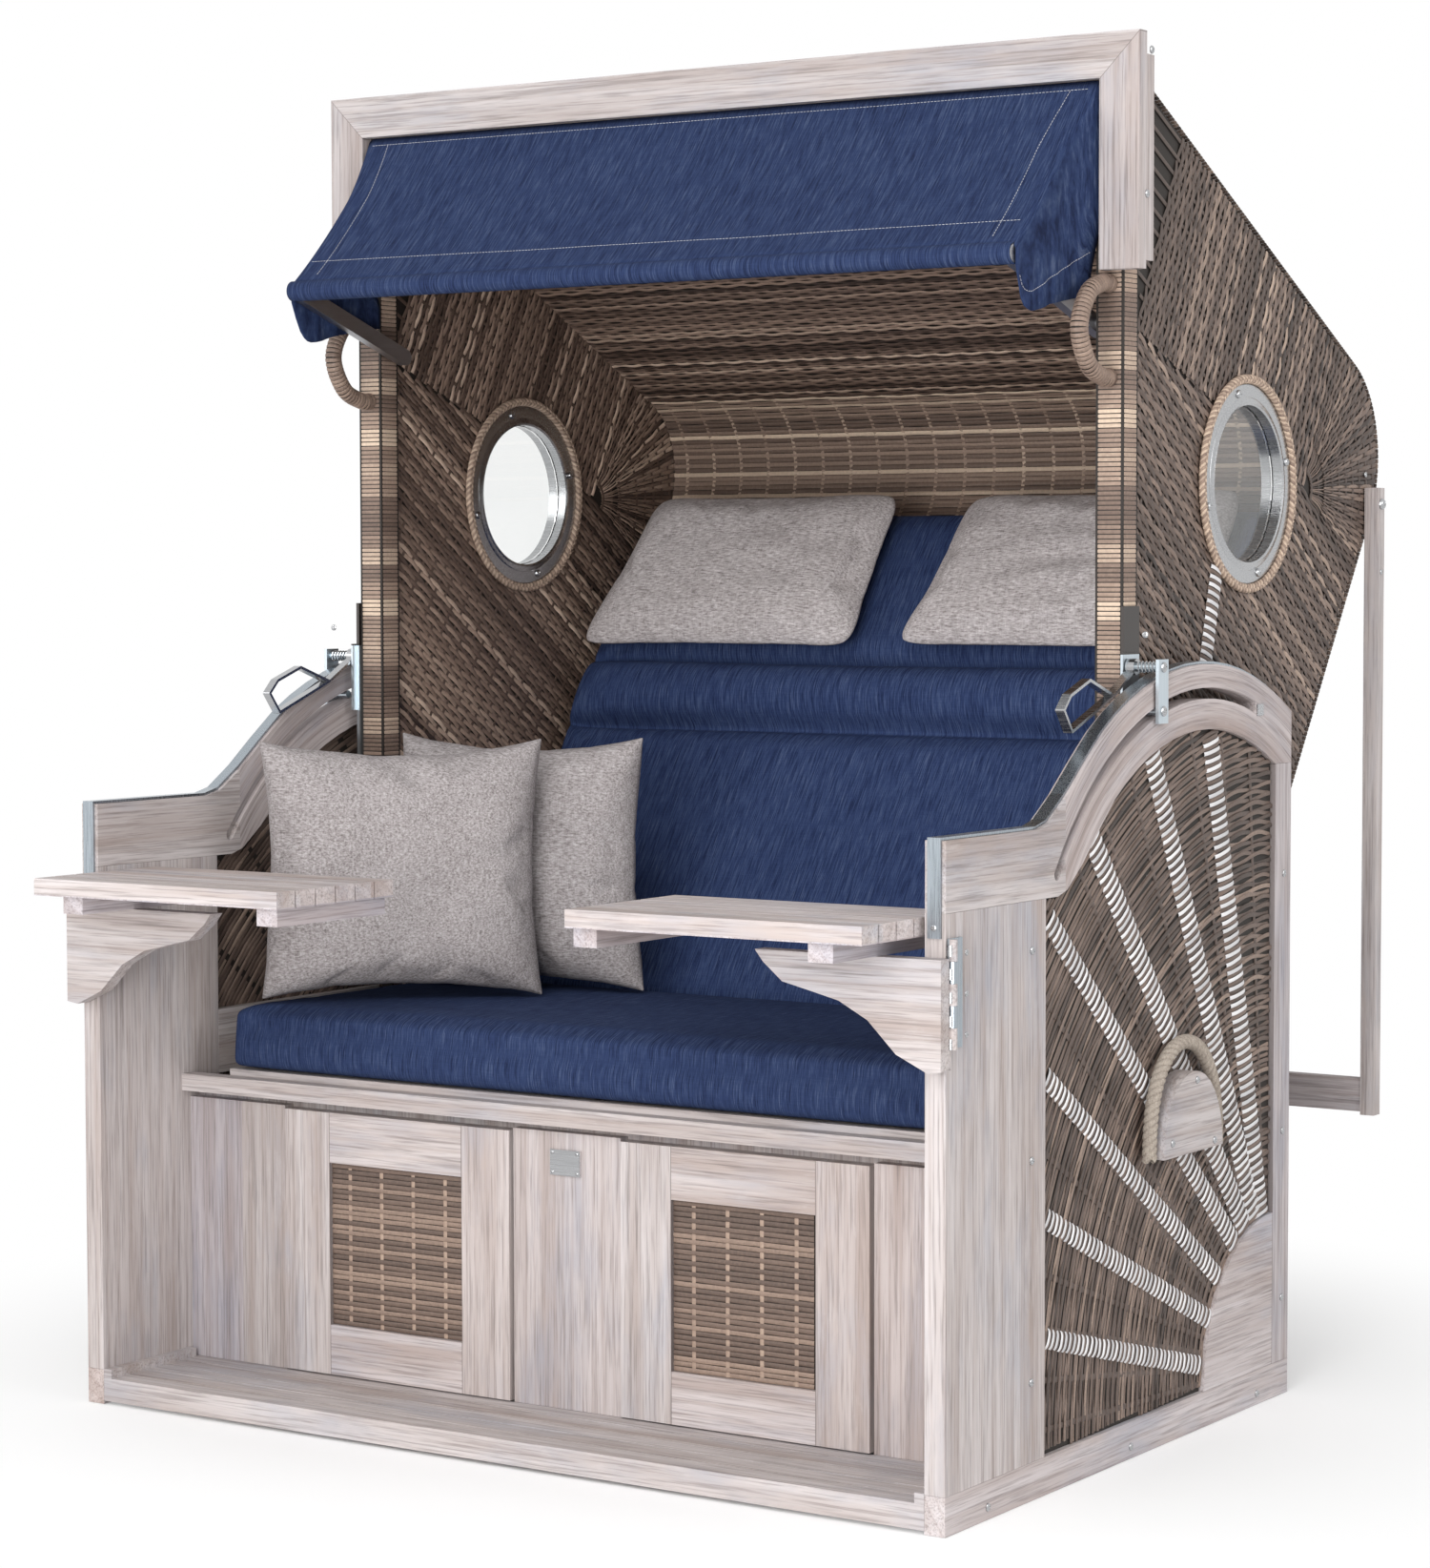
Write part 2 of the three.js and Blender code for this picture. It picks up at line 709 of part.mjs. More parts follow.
const rearBoardBottom = railHeight + fit;
const rearBoardHeight = (rearBoardTop - rearBoardBottom) / rearBoardCount;
const rearGrooves = [];
const rearBoardBack = boxDepth - rearBoardSetback;
for (let i = 1; i < rearBoardCount; i += 1) {
  const z = rearBoardBottom + i * rearBoardHeight;
  rearGrooves.push(block(-halfWidth, halfWidth, rearBoardBack - deckGroove, boxDepth,
    z - deckGroove / 2, z + deckGroove / 2));
}
const rearBoards = cut(block(-innerX - fit, innerX + fit, rearBoardBack - rearBoardThickness, rearBoardBack,
  rearBoardBottom, rearBoardTop), rearGrooves);
add('rear_panel', join([rearBoards, pair(join([rearPost, cornerBoard]))]), 'timber');

// ---- Drawers ----
const drawerFaceBack = drawerFrontY + drawerFrontThickness;
function addDrawer(side, [x0, x1]) {
  const [ix0, ix1] = [x0 + drawerStile, x1 - drawerStile];
  const [iz0, iz1] = [drawerBottom + drawerSill, drawerTop - drawerSill];
  add(`drawer_front_${side}`, cut(
    block(x0, x1, drawerFrontY, drawerFaceBack, drawerBottom, drawerTop),
    [block(ix0, ix1, drawerFrontY - overrun, drawerFaceBack + overrun, iz0, iz1)]), 'timber');
  const wickerFront = drawerFrontY + drawerWickerRecess;
  add(`drawer_wicker_${side}`, block(ix0 + fit, ix1 - fit, wickerFront,
    wickerFront + drawerWickerThickness, iz0 + fit, iz1 - fit), 'wicker');
  const [tx0, tx1] = [x0 + trayInset, x1 - trayInset];
  const trayFront = drawerFaceBack + fit;
  const trayBottom = runnerTop + fit;
  const shell = block(tx0, tx1, trayFront, trayFront + trayDepth, trayBottom, trayBottom + trayHeight);
  const inside = block(tx0 + trayWall, tx1 - trayWall, trayFront + trayWall,
    trayFront + trayDepth - trayWall, trayBottom + trayWall, trayBottom + trayHeight + overrun);
  add(`drawer_tray_${side}`, cut(shell, [inside]), 'timber');
}
addDrawer('left', drawerLeft);
addDrawer('right', drawerRight);

// ---- Folding tables ----
const knuckleHeight = (hingeTop - hingeBottom) / hingeKnuckles;

function knuckle(i) {
  const z = hingeBottom + i * knuckleHeight;
  return barZ(hingeRadius, hingeX, 0, z + fit / 2, z + knuckleHeight - fit / 2);
}

function tableTop() {
  const pitch = (tableRear - tableFront + tableSlatGap) / tableSlatCount;
  const slatUnder = tableTopZ - tableSlatThickness;
  const pieces = [];
  for (let i = 0; i < tableSlatCount; i += 1) {
    const y = tableFront + i * pitch;
    pieces.push(block(tableInnerX, tableOuterX, y, y + pitch - tableSlatGap, slatUnder, tableTopZ));
  }
  for (const x of [tableInnerX + battenInset, tableOuterX - battenOuterInset - battenWidth]) {
    pieces.push(block(x, x + battenWidth, tableFront + battenEndInset, tableRear - battenEndInset,
      slatUnder - battenHeight, slatUnder + fit));
  }
  return join(pieces);
}

// The bracket's plate, with a hollow lower edge, and its knuckles round the hinge pin.
function tableBracket() {
  const top = tableTopZ - tableSlatThickness - battenHeight - fit;
  const lowerShares = [[0, 1], [0.07, 1.02], [0.135, 0.96], [0.235, 0.87], [0.385, 0.58], [0.54, 0.42],
    [0.69, 0.35], [0.845, 0.28], [0.95, 0.11], [0.995, 0]];
  const outerX = hingeX - hingeRadius / 2;
  const outline = lowerShares.map(([x, z]) => [outerX - x * bracketLength, top - z * bracketDepthBelow]);
  const plate = frontPlate([[outerX, top], ...outline], bracketFront, bracketRear);
  const space = [];
  const knuckles = [];
  for (let i = 0; i < hingeKnuckles; i += 1) {
    if (i % 2 === 0) {
      knuckles.push(knuckle(i));
    } else {
      const z = hingeBottom + i * knuckleHeight;
      space.push(barZ(hingeRadius + running / 4, hingeX, 0, z - fit / 2, z + knuckleHeight + fit / 2));
    }
  }
  const pin = barZ(hingePinRadius, hingeX, 0, hingeBottom + fit, hingeTop - fit);
  return join([cut(plate, space), ...knuckles, pin]);
}

function hingeLeaf() {
  const x0 = halfWidth + fit;
  const leaf = block(x0, x0 + hingeLeafThickness, hingeRadius / 2, hingeLeafDepth, hingeBottom, hingeTop);
  const pieces = [leaf];
  for (let i = 1; i < hingeKnuckles; i += 2) {
    const z = hingeBottom + i * knuckleHeight;
    pieces.push(knuckle(i));
    pieces.push(block(x0, hingeX, hingeRadius / 2, hingeRadius - fit, z + fit / 2,
      z + knuckleHeight - fit / 2));
  }
  const bore = barZ(hingePinRadius + fit, hingeX, 0, hingeBottom - overrun, hingeTop + overrun);
  return cut(join(pieces), [bore]);
}

addSides('table_top', tableTop(), 'timber');
addSides('table_bracket', tableBracket(), 'timber');
addSides('table_hinge', hingeLeaf(), 'zinc');

// ---- Rope handles ----
const handleInner = wickerOuterX + fit;
const handleArch = [];
for (let i = 0; i <= 16; i += 1) {
  const angle = Math.PI * i / 16;
  handleArch.push([handleY + handleHalfWidth * Math.cos(angle), handleBottom + handleHeight * Math.sin(angle)]);
}
addSides('handle_block', sidePlate(handleArch, handleInner, handleInner + handleThickness), 'timber');

const ropeX = handleInner + ropeRadius + fit;
const ropeHalf = handleHalfWidth + ropeRadius + fit * 2;
const ropePoints = [];
for (let i = 0; i <= 14; i += 1) {
  const angle = Math.PI * i / 14;
  ropePoints.push([ropeX, handleY - ropeHalf * Math.cos(angle), handleBottom + ropeRise * Math.sin(angle)]);
}
addSides('handle_rope', tube(ropePoints, ropeRadius, 18, 8), 'rope');

// ---- Hood ----
const hood = new THREE.Group();
part.add(hood);

// Places in the hood's back plane: s runs up along the back from the pivot, n towards the sitter.
function onBack(s, n) {
  return [pivotY + s * backAlong[0] - n * backAlong[1], pivotZ + s * backAlong[1] + n * backAlong[0]];
}

function roofZ(y) {
  return hoodRoofFrontZ - hoodRoofSlope * (y - hoodPostFront);
}

// Where the roof line meets the back line.
function hoodCorner() {
  const [y0, z0] = onBack(0, -hoodHubRadius);
  const slope = backAlong[1] / backAlong[0];
  const y = (hoodRoofFrontZ + hoodRoofSlope * hoodPostFront - z0 + slope * y0) / (slope + hoodRoofSlope);
  return [y, roofZ(y)];
}

// The outer line of the hood from the roof's front over the rounded corner down the back.
function hoodLine(frontY, lowS) {
  const [cy, cz] = hoodCorner();
  const roofAngle = degrees(Math.atan(hoodRoofSlope));
  const turn = 180 - roofAngle - hoodBackAngle;
  const tangent = hoodCornerRadius * Math.tan(radians(turn / 2));
  const startY = cy - tangent * Math.cos(radians(roofAngle));
  const startZ = roofZ(startY);
  const middleY = startY - hoodCornerRadius * Math.sin(radians(roofAngle));
  const middleZ = startZ - hoodCornerRadius * Math.cos(radians(roofAngle));
  return [
    [frontY, roofZ(frontY)],
    ...arc(middleY, middleZ, hoodCornerRadius, 90 - roofAngle, 90 - roofAngle - turn, 8),
    onBack(lowS, -hoodHubRadius),
  ];
}

// The side panel: its front edge falls from the post to the round hub about the pivot.
function hoodSideOutline() {
  const frontY = hoodPostRear + fit;
  const [dy, dz] = [frontY - pivotY, hoodPostBottom - pivotZ];
  const reach = Math.hypot(dy, dz);
  const touch = degrees(Math.atan2(dz, dy)) + degrees(Math.acos(hoodHubRadius / reach));
  return [
    ...hoodLine(frontY, 0),
    ...arc(pivotY, pivotZ, hoodHubRadius, hoodBackAngle - 90, touch - fullTurn, 12).slice(1),
    [frontY, hoodPostBottom],
  ];
}

const hubHole = circle(pivotY, pivotZ, boltRadius + fit * 2, 16);
const portHole = circle(portholeY, portholeZ, portholeTube, 32);
const hoodSide = sidePlate(hoodSideOutline(), hoodInnerX, hoodOuterX, [hubHole, portHole]);
addHoodSides('hood_side', hoodSide, 'wicker');

function addHood(name, geometry, look) {
  return add(name, geometry, look, hood);
}

function addHoodSides(name, geometry, look) {
  addHood(`${name}_right`, geometry, look);
  addHood(`${name}_left`, mirrored(geometry), look);
}

// The roof and the back are one bent shell between the sides, parted at the round corner.
const shellLine = hoodLine(hoodPostFront + fit, -hoodBackDrop);
const shellX = hoodInnerX - fit;
const shellUnder = shifted(shellLine, -hoodShellThickness);
const partingIndex = 5;

// Part of the shell between two points of its line, drawn back by a gap at the first one.
function shellPiece(from, to, gap) {
  const drawn = line => {
    const points = line.slice(from, to);
    const step = new THREE.Vector2(points[1][0] - points[0][0], points[1][1] - points[0][1]).setLength(gap);
    points[0] = [points[0][0] + step.x, points[0][1] + step.y];
    return points;
  };
  return sidePlate([...drawn(shellLine), ...drawn(shellUnder).reverse()], -shellX, shellX);
}
const roofFront = block(-halfWidth, halfWidth, hoodPostFront - hoodPostDepth, hoodPostFront + fit,
  hoodRoofFrontZ - frameBand, frameTop);
addHood('hood_roof', cut(shellPiece(0, partingIndex + 1, 0), [roofFront]), 'wicker');
addHood('hood_back', shellPiece(partingIndex, shellLine.length, fit), 'wicker');

// The wound posts stand in front of the sides and carry the roof's front end.
const postInnerX = hoodOuterX - hoodPostWidth;
const postOutline = [
  [hoodPostFront + fit, hoodPostBottom], [hoodPostRear, hoodPostBottom],
  [hoodPostRear, roofZ(hoodPostRear)], [hoodPostFront + fit, roofZ(hoodPostFront + fit)],
];
const roofSpaceLine = [hoodPostFront - hoodShellThickness, hoodPostRear + hoodShellThickness]
  .map(y => [y, roofZ(y)]);
const roofSpace = sidePlate(ribbon(roofSpaceLine, -hoodShellThickness - fit, overrun),
  postInnerX - overrun, hoodInnerX);
addHoodSides('hood_post', cut(sidePlate(postOutline, postInnerX, hoodOuterX), [roofSpace]), 'winding');

// ---- Timber frame round the hood's mouth ----
const frameInnerX = frameHalfWidth - frameBand;
const mouthOutline = [
  [-frameHalfWidth, frameLegBottom], [-frameInnerX, frameLegBottom],
  [-frameInnerX, frameTop - frameBand], [frameInnerX, frameTop - frameBand],
  [frameInnerX, frameLegBottom], [frameHalfWidth, frameLegBottom],
  [frameHalfWidth, frameTop], [-frameHalfWidth, frameTop],
];
const sideStrip = block(hoodOuterX + fit, frameHalfWidth, hoodPostFront - fit,
  hoodPostFront + sideStripDepth, frameLegBottom + sideStripInset, frameTop - frameBand / 2);
addHood('mouth_frame', join([
  frontPlate(mouthOutline, frameFront, hoodPostFront), sideStrip, mirrored(sideStrip),
]), 'timber');

// ---- Portholes ----
const outerFaceX = hoodOuterX + fit;
const innerFaceX = hoodInnerX - fit;
const braidSlope = braidThickness / 2;
const porthole = turnedX([
  [portholeOpening, innerFaceX - portholeFlangeThickness],
  [portholeFlange, innerFaceX - portholeFlangeThickness],
  [portholeFlange + braidSlope, innerFaceX - braidThickness],
  [braidRadius - braidSlope, innerFaceX - braidThickness],
  [braidRadius, innerFaceX], [portholeTube - fit * 3, innerFaceX],
  [portholeTube - fit * 3, outerFaceX], [braidRadius, outerFaceX],
  [braidRadius - braidSlope, outerFaceX + braidThickness],
  [portholeFlange + braidSlope, outerFaceX + braidThickness],
  [portholeFlange, outerFaceX + portholeFlangeThickness],
  [portholeOpening, outerFaceX + portholeFlangeThickness],
  [portholeOpening, innerFaceX - portholeFlangeThickness],
], portholeY, portholeZ, 32);
addHoodSides('porthole', porthole, 'zinc');
const glassX = (hoodOuterX + hoodInnerX - glassThickness) / 2;
addHoodSides('porthole_glass', barX(portholeOpening - fit * 2, glassX, glassX + glassThickness,
  portholeY, portholeZ, 32), 'glass');

// ---- Grab handles on the posts ----
const grabReachShares = [[0, 0], [0.25, 0], [0.72, 0.13], [1, 0.5], [0.72, 0.87], [0.25, 1], [0, 1]];
const grabPoints = grabReachShares.map(([out, down]) =>
  [grabX, hoodPostFront - out * grabBulge, grabTop - down * (grabTop - grabBottom)]);
addHoodSides('grab_handle', tube(grabPoints, grabRadius, 14, 8), 'winding');

// ---- Lock: bar, channel, rod, link and the pin that runs in the arch's slot ----
const lockBarX = hoodOuterX + fit;
const channelX = lockBarX + lockBarThickness;
const lockBarFront = hoodPostFront - lockBarOverhang;
const pinZ = pivotZ + Math.sqrt(slotRadius ** 2 - (lockY - pivotY) ** 2);
const channelFront = lockBarFront - channelWidth / 5;
const lock = join([
  block(lockBarX, channelX, lockBarFront, lockBarFront + lockBarWidth, lockBarBottom, lockBarTop),
  block(channelX - fit, channelX + channelThickness, channelFront, channelFront + channelWidth,
    channelBottom, channelBottom + channelHeight),
  barX(rodRadius, channelX, linkX + linkThickness, lockY, rodZ),
  block(linkX, linkX + linkThickness, lockY - linkWidth / 2, lockY + linkWidth / 2,
    pinZ - pinRadius - linkMargin, rodZ + linkMargin),
  barX(pinRadius, pinInnerX, linkX + linkThickness / 2, lockY, pinZ),
]);
addHoodSides('lock_bar', lock, 'zinc');

// ---- Lock spring, wound round the rod between the lever and the link ----
function springGeometry() {
  const from = leverX + leverWidth + springFromLever;
  const to = linkX - fit;
  const middleRadius = rodRadius + springGap + springWire;
  const stepCount = springCurls * 8;
  const sides = 5;
  const length = to - from - 2 * springWire;
  const centres = [];
  const positions = [];
  for (let i = 0; i <= stepCount; i += 1) {
    const turn = 2 * Math.PI * i / 8;
    const x = from + springWire + length * i / stepCount;
    centres.push([x, lockY + middleRadius * Math.cos(turn), rodZ + middleRadius * Math.sin(turn)]);
    for (let k = 0; k < sides; k += 1) {
      const around = 2 * Math.PI * k / sides;
      const r = middleRadius + springWire * Math.cos(around);
      positions.push(x + springWire * Math.sin(around), lockY + r * Math.cos(turn), rodZ + r * Math.sin(turn));
    }
  }
  const index = [];
  for (let i = 0; i < stepCount; i += 1) {
    for (let k = 0; k < sides; k += 1) {
      const a = i * sides + k;
      const b = i * sides + (k + 1) % sides;
      index.push(a, b, a + sides, b, b + sides, a + sides);
    }
  }
  const last = stepCount * sides;
  for (let k = 1; k < sides - 1; k += 1) {
    index.push(0, k + 1, k, last, last + k, last + k + 1);
  }
  const g = new THREE.BufferGeometry();
  g.setAttribute('position', new THREE.Float32BufferAttribute(positions, 3));
  g.setIndex(index);
  return { g, gap: leastGap(centres, 8, 2 * springWire) };
}

// The least gap between turns, from the middle points of the wire.
function leastGap(centres, perTurn, wire) {
  let least = Infinity;
  for (let i = 0; i < centres.length; i += 1) {
    for (let j = i + perTurn - 2; j < centres.length; j += 1) {
      const d = Math.hypot(...centres[i].map((value, k) => value - centres[j][k])) - wire;
      least = Math.min(least, d);
    }
  }
  return least;
}
const spring = springGeometry();
console.log(`lock spring, least gap to itself: ${spring.gap.toFixed(2)} mm`);
addHoodSides('lock_spring', spring.g, 'zinc');

// ---- Lock levers: a bent flat bar on an eye round the rod ----
function leverGeometry() {
  const eye = [lockY, rodZ];
  const leverShares = [[-0.32, -0.18], [-0.89, -0.39], [-1, -0.25], [-0.91, -0.16], [-0.65, -0.07],
    [-0.32, -0.18]];
  const points = [eye, ...leverShares.map(([y, z]) => [lockY + y * leverLength, rodZ + z * leverLength])];
  const half = leverThickness / 2;
  const x1 = leverX + leverWidth;
  const pieces = [barX(leverEyeRadius, leverX, x1, ...eye, 20)];
  for (let i = 0; i < points.length - 1; i += 1) {
    pieces.push(sidePlate(ribbon([points[i], points[i + 1]], -half, half), leverX, x1));
    pieces.push(barX(half, leverX, x1, ...points[i + 1], 8));
  }
  const bore = barX(rodRadius + leverEyeGap, leverX - overrun, x1 + overrun, ...eye, 20);
  return cut(join(pieces), [bore]);
}
addHoodSides('lock_lever', leverGeometry(), 'zinc');

// ---- Awning: two flat arms, a round front bar and the cloth over it ----
const armAngle = degrees(Math.atan2(awningBarZ - awningZ, awningBarY - awningY));
const armLength = Math.hypot(awningBarZ - awningZ, awningBarY - awningY);
const armHalf = awningArmWidth / 2;
const armOutline = [
  ...arc(-armLength, 0, armHalf, 90, 270, 6),
  ...arc(awningArmTail - armHalf, 0, armHalf, -90, 90, 6),
].map(([along, across]) => {
  const [c, s] = [Math.cos(radians(armAngle - 180)), Math.sin(radians(armAngle - 180))];
  return [awningY + along * c - across * s, awningZ + along * s + across * c];
});
const awningArm = join([
  sidePlate(armOutline, awningArmX, awningArmX + awningArmThickness),
  barX(awningSpacerRadius, awningArmX + awningArmThickness / 2, postInnerX - fit, awningY, awningZ),
]);
const barEnd = awningArmX + awningArmThickness / 2;
addHood('awning_frame', join([
  pair(awningArm), barX(awningBarRadius, -barEnd, barEnd, awningBarY, awningBarZ, 12),
]), 'plastic');

// The cloth sags a little between the beam and the bar, and a flap hangs beside each arm.
const clothStart = [(frameFront + 2 * hoodPostFront) / 3, frameTop - frameBand - fit - clothThickness / 2];
const clothHalf = clothThickness / 2;
const clothRadius = Math.max(armHalf, awningBarRadius) + fit + clothHalf;
const clothEnd = [awningBarY, awningBarZ + clothRadius];
const clothLine = [];
for (let i = 0; i < clothSteps; i += 1) {
  const share = i / clothSteps;
  const sag = clothSag * 4 * share * (1 - share);
  clothLine.push([
    clothStart[0] + (clothEnd[0] - clothStart[0]) * share,
    clothStart[1] + (clothEnd[1] - clothStart[1]) * share - sag,
  ]);
}
const clothHem = arc(awningBarY, awningBarZ, clothRadius, fullTurn / 4, clothWrapAngle, 5);
const flapX = awningArmX + awningArmThickness + clothFromArm;
const flapOuterX = flapX + clothThickness;
const flapHemShares = [[0.04, 0.2], [0.11, 1], [0.42, 0.88], [0.74, 0.72], [1, 0.6]];
const flapHem = flapHemShares.map(([along, drop]) =>
  [clothEnd[0] + (clothStart[0] - clothEnd[0]) * along, awningBarZ - drop * flapDrop]);
const flap = sidePlate([...clothLine, ...clothHem.slice(0, 1), ...flapHem], flapX, flapOuterX);
addHood('awning_cloth', join([
  sidePlate(ribbon([...clothLine, ...clothHem], -clothHalf, clothHalf), -flapOuterX, flapOuterX),
  flap, mirrored(flap),
]), 'navy');

// ---- Prop frame behind the hood ----
const propX = hoodOuterX + propGap;
const propLeg = join([
  block(propX, propX + propThickness, propY - propWidth / 2, propY + propWidth / 2, propBottom, propTop),
  barX(boltRadius, hoodOuterX + fit, propX + propThickness / 2, propY, propZ),
]);
const crossbarX = propX + fit;
const crossbar = block(-crossbarX, crossbarX, propY - crossbarThickness / 2, propY + crossbarThickness / 2,
  propBottom + crossbarLift, propBottom + crossbarLift + crossbarHeight);
addHood('prop_frame', join([pair(propLeg), crossbar]), 'timber');

// ---- Upholstery ----
// A stuffed piece: corners drawn in, edges thin or thick, its face crowned. u runs across, v up.
function stuffed(width, height, thickness, steps, style) {
  const g = bare(new THREE.BoxGeometry(2, 2, 2, ...steps));
  const p = g.attributes.position;
  for (let i = 0; i < p.count; i += 1) {
    const [u, v, w] = [p.getX(i), p.getY(i), p.getZ(i)];
    const fullness = (1 - Math.abs(u) ** style.power) * (1 - Math.abs(v) ** style.power);
    const thick = style.edge + (1 - style.edge) * fullness ** style.bow;
    const pullU = 1 - style.pull * (1 - v * v) * Math.abs(u);
    const pullV = 1 - style.pull * (1 - u * u) * Math.abs(v);
    const bulge = 1 - style.round * w * w;
    const extra = style.profile ? style.profile(v, w) : 0;
    p.setXYZ(i, u * width / 2 * pullU * bulge, v * height / 2 * pullV * bulge,
      w * thickness / 2 * thick + extra);
  }
  return g;
}

// Sets a piece into place: its face normal is turned from +Z to the given directions.
function placed(geometry, across, up, centre) {
  const a = new THREE.Vector3(...across).normalize();
  const b = new THREE.Vector3(...up).normalize();
  const c = new THREE.Vector3().crossVectors(a, b);
  const g = geometry.clone();
  g.applyMatrix4(new THREE.Matrix4().makeBasis(a, b, c).setPosition(...centre));
  return g;
}

const seatCushionDepth = seatCushionRear - seatCushionFront;
const boxed = { edge: 0.86, power: 6, bow: 0.5, pull: 0.006, round: 0.02 };
const seatCushionMiddle = slatTop + fit + seatCushionHeight / 2;
add('seat_cushion', placed(
  stuffed(seatCushionHalf * 2, seatCushionDepth, seatCushionHeight, [14, 7, 2], boxed),
  [1, 0, 0], [0, 1, 0], [0, (seatCushionFront + seatCushionRear) / 2, seatCushionMiddle]), 'navy');

// The back cushion has a roll across it between two seams.
const backCushionEnd = (cornerY - pivotY) * backAlong[0] + (cornerZ - pivotZ) * backAlong[1]
  - backCushionTopGap;
const backCushionLength = backCushionEnd - backCushionStart;
const rollStart = backCushionEnd - rollDrop;
const rollEnd = rollStart + rollWidth;
const backUp = [0, ...backAlong];
const rollMiddle = (rollStart + rollEnd) / 2;
const rollHalf = (rollEnd - rollStart) / 2;
function rollProfile(v, w) {
  const s = (backCushionStart + backCushionEnd) / 2 + v * backCushionLength / 2;
  const away = Math.abs(s - rollMiddle) / rollHalf;
  if (w <= 0) {
    return 0;
  }
  const swell = away < 1 ? rollRise * Math.sqrt(1 - away * away) : 0;
  return w * (swell - seamDepth * Math.exp(-(((away - 1) * rollHalf / seamWidth) ** 2)));
}
const [backMidY, backMidZ] = onBack((backCushionStart + backCushionEnd) / 2,
  -hoodHubRadius + hoodShellThickness + fit + backCushionThickness / 2);
addHood('back_cushion', placed(
  stuffed(backCushionHalf * 2, backCushionLength, backCushionThickness, [10, 32, 2],
    { ...boxed, profile: rollProfile }),
  [1, 0, 0], backUp, [0, backMidY, backMidZ]), 'navy');

const pillowed = { edge: 0.3, power: 2.4, bow: 0.62, pull: 0.06, round: 0.03 };
const headrestN = -hoodHubRadius + hoodShellThickness + fit * 2 + backCushionThickness
  + headrestThickness / 2;
const [headrestY, headrestZ] = onBack(rollEnd + headrestRise + headrestHeight / 2, headrestN);
for (const [side, setback] of Object.entries(headrestSetbacks)) {
  const out = backCushionHalf - headrestWidth / 2 - setback;
  const x = side === 'left' ? -out : out;
  addHood(`headrest_pillow_${side}`, placed(
    stuffed(headrestWidth, headrestHeight, headrestThickness, [14, 8, 2], pillowed),
    [1, 0, 0], backUp, [x, headrestY, headrestZ]), 'linen');
}

const throwMiddleZ = slatTop + seatCushionHeight + fit * 2 + throwHeight / 2;
for (const [side, place] of [['front', throwFront], ['back', throwBack]]) {
  const turn = radians(place.turn);
  add(`throw_pillow_${side}`, placed(
    stuffed(throwWidth, throwHeight, throwThickness, [12, 12, 2], pillowed),
    [Math.cos(turn), Math.sin(turn), 0], [0, 0, 1],
    [place.fromSide - seatCushionHalf, seatCushionRear - place.fromRear, throwMiddleZ]), 'linen');
}

// The origin is set under the middle of the whole chair.
const extent = new THREE.Box3().setFromObject(part, true);
for (const child of part.children) {
  child.position.y -= (extent.min.y + extent.max.y) / 2;
  child.position.x -= (extent.min.x + extent.max.x) / 2;
}

export default part;
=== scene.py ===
"""Hooded two-seat beach chair: timber box, woven cane sides and hood, cushions, awning and fittings."""
import math

import bmesh
import bpy
import numpy as np
from mathutils import Matrix, Vector


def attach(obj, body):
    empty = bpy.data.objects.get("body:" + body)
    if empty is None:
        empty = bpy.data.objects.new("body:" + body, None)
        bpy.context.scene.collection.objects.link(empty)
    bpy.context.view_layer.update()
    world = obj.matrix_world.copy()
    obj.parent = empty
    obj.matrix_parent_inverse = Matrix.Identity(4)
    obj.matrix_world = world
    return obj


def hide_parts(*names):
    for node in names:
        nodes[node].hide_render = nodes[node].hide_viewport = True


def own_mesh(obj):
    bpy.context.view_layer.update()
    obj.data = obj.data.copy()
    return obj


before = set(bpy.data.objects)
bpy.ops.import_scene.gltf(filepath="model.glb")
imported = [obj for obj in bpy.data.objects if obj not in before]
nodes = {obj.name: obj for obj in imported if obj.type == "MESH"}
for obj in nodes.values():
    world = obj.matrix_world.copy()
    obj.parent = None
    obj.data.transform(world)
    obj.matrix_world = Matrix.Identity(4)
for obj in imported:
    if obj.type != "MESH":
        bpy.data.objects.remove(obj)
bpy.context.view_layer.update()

MM = 0.001
SHIFT = 541.5513916015625      # the lower box's front face lies this far in front of the origin
SIDES = (("right", 1), ("left", -1))
WORLD_LIGHT = 0.62             # the world's light on the chair
FADE = (0.45, 1.35)            # metres from the middle over which the floor turns white
rng = np.random.default_rng(7)


def place(x, y, z):
    """A point given in millimetres from the box's front face, as metres from the shared origin."""
    return np.array([x * MM, (y - SHIFT) * MM, z * MM])


# Camera, floor and lights
def set_camera():
    """The photograph's viewing angle."""
    yaw, pitch, roll = math.radians(33.36), math.radians(3.26), math.radians(-0.116)
    forward = Vector((-math.sin(yaw) * math.cos(pitch), math.cos(yaw) * math.cos(pitch), -math.sin(pitch)))
    right = Vector((math.cos(yaw), math.sin(yaw), 0))
    up = right.cross(forward)
    side = right * math.cos(roll) + up * math.sin(roll)
    top = -right * math.sin(roll) + up * math.cos(roll)
    data = bpy.data.cameras.new("camera")
    data.sensor_width = 36
    data.lens = 87.08
    data.clip_end = 60
    camera = bpy.data.objects.new("camera", data)
    rotation = Matrix((side, top, -forward)).transposed().to_4x4()
    camera.matrix_world = Matrix.Translation(Vector(place(2550.1, -3395.6, 1011.7))) @ rotation
    bpy.context.collection.objects.link(camera)
    bpy.context.scene.camera = camera


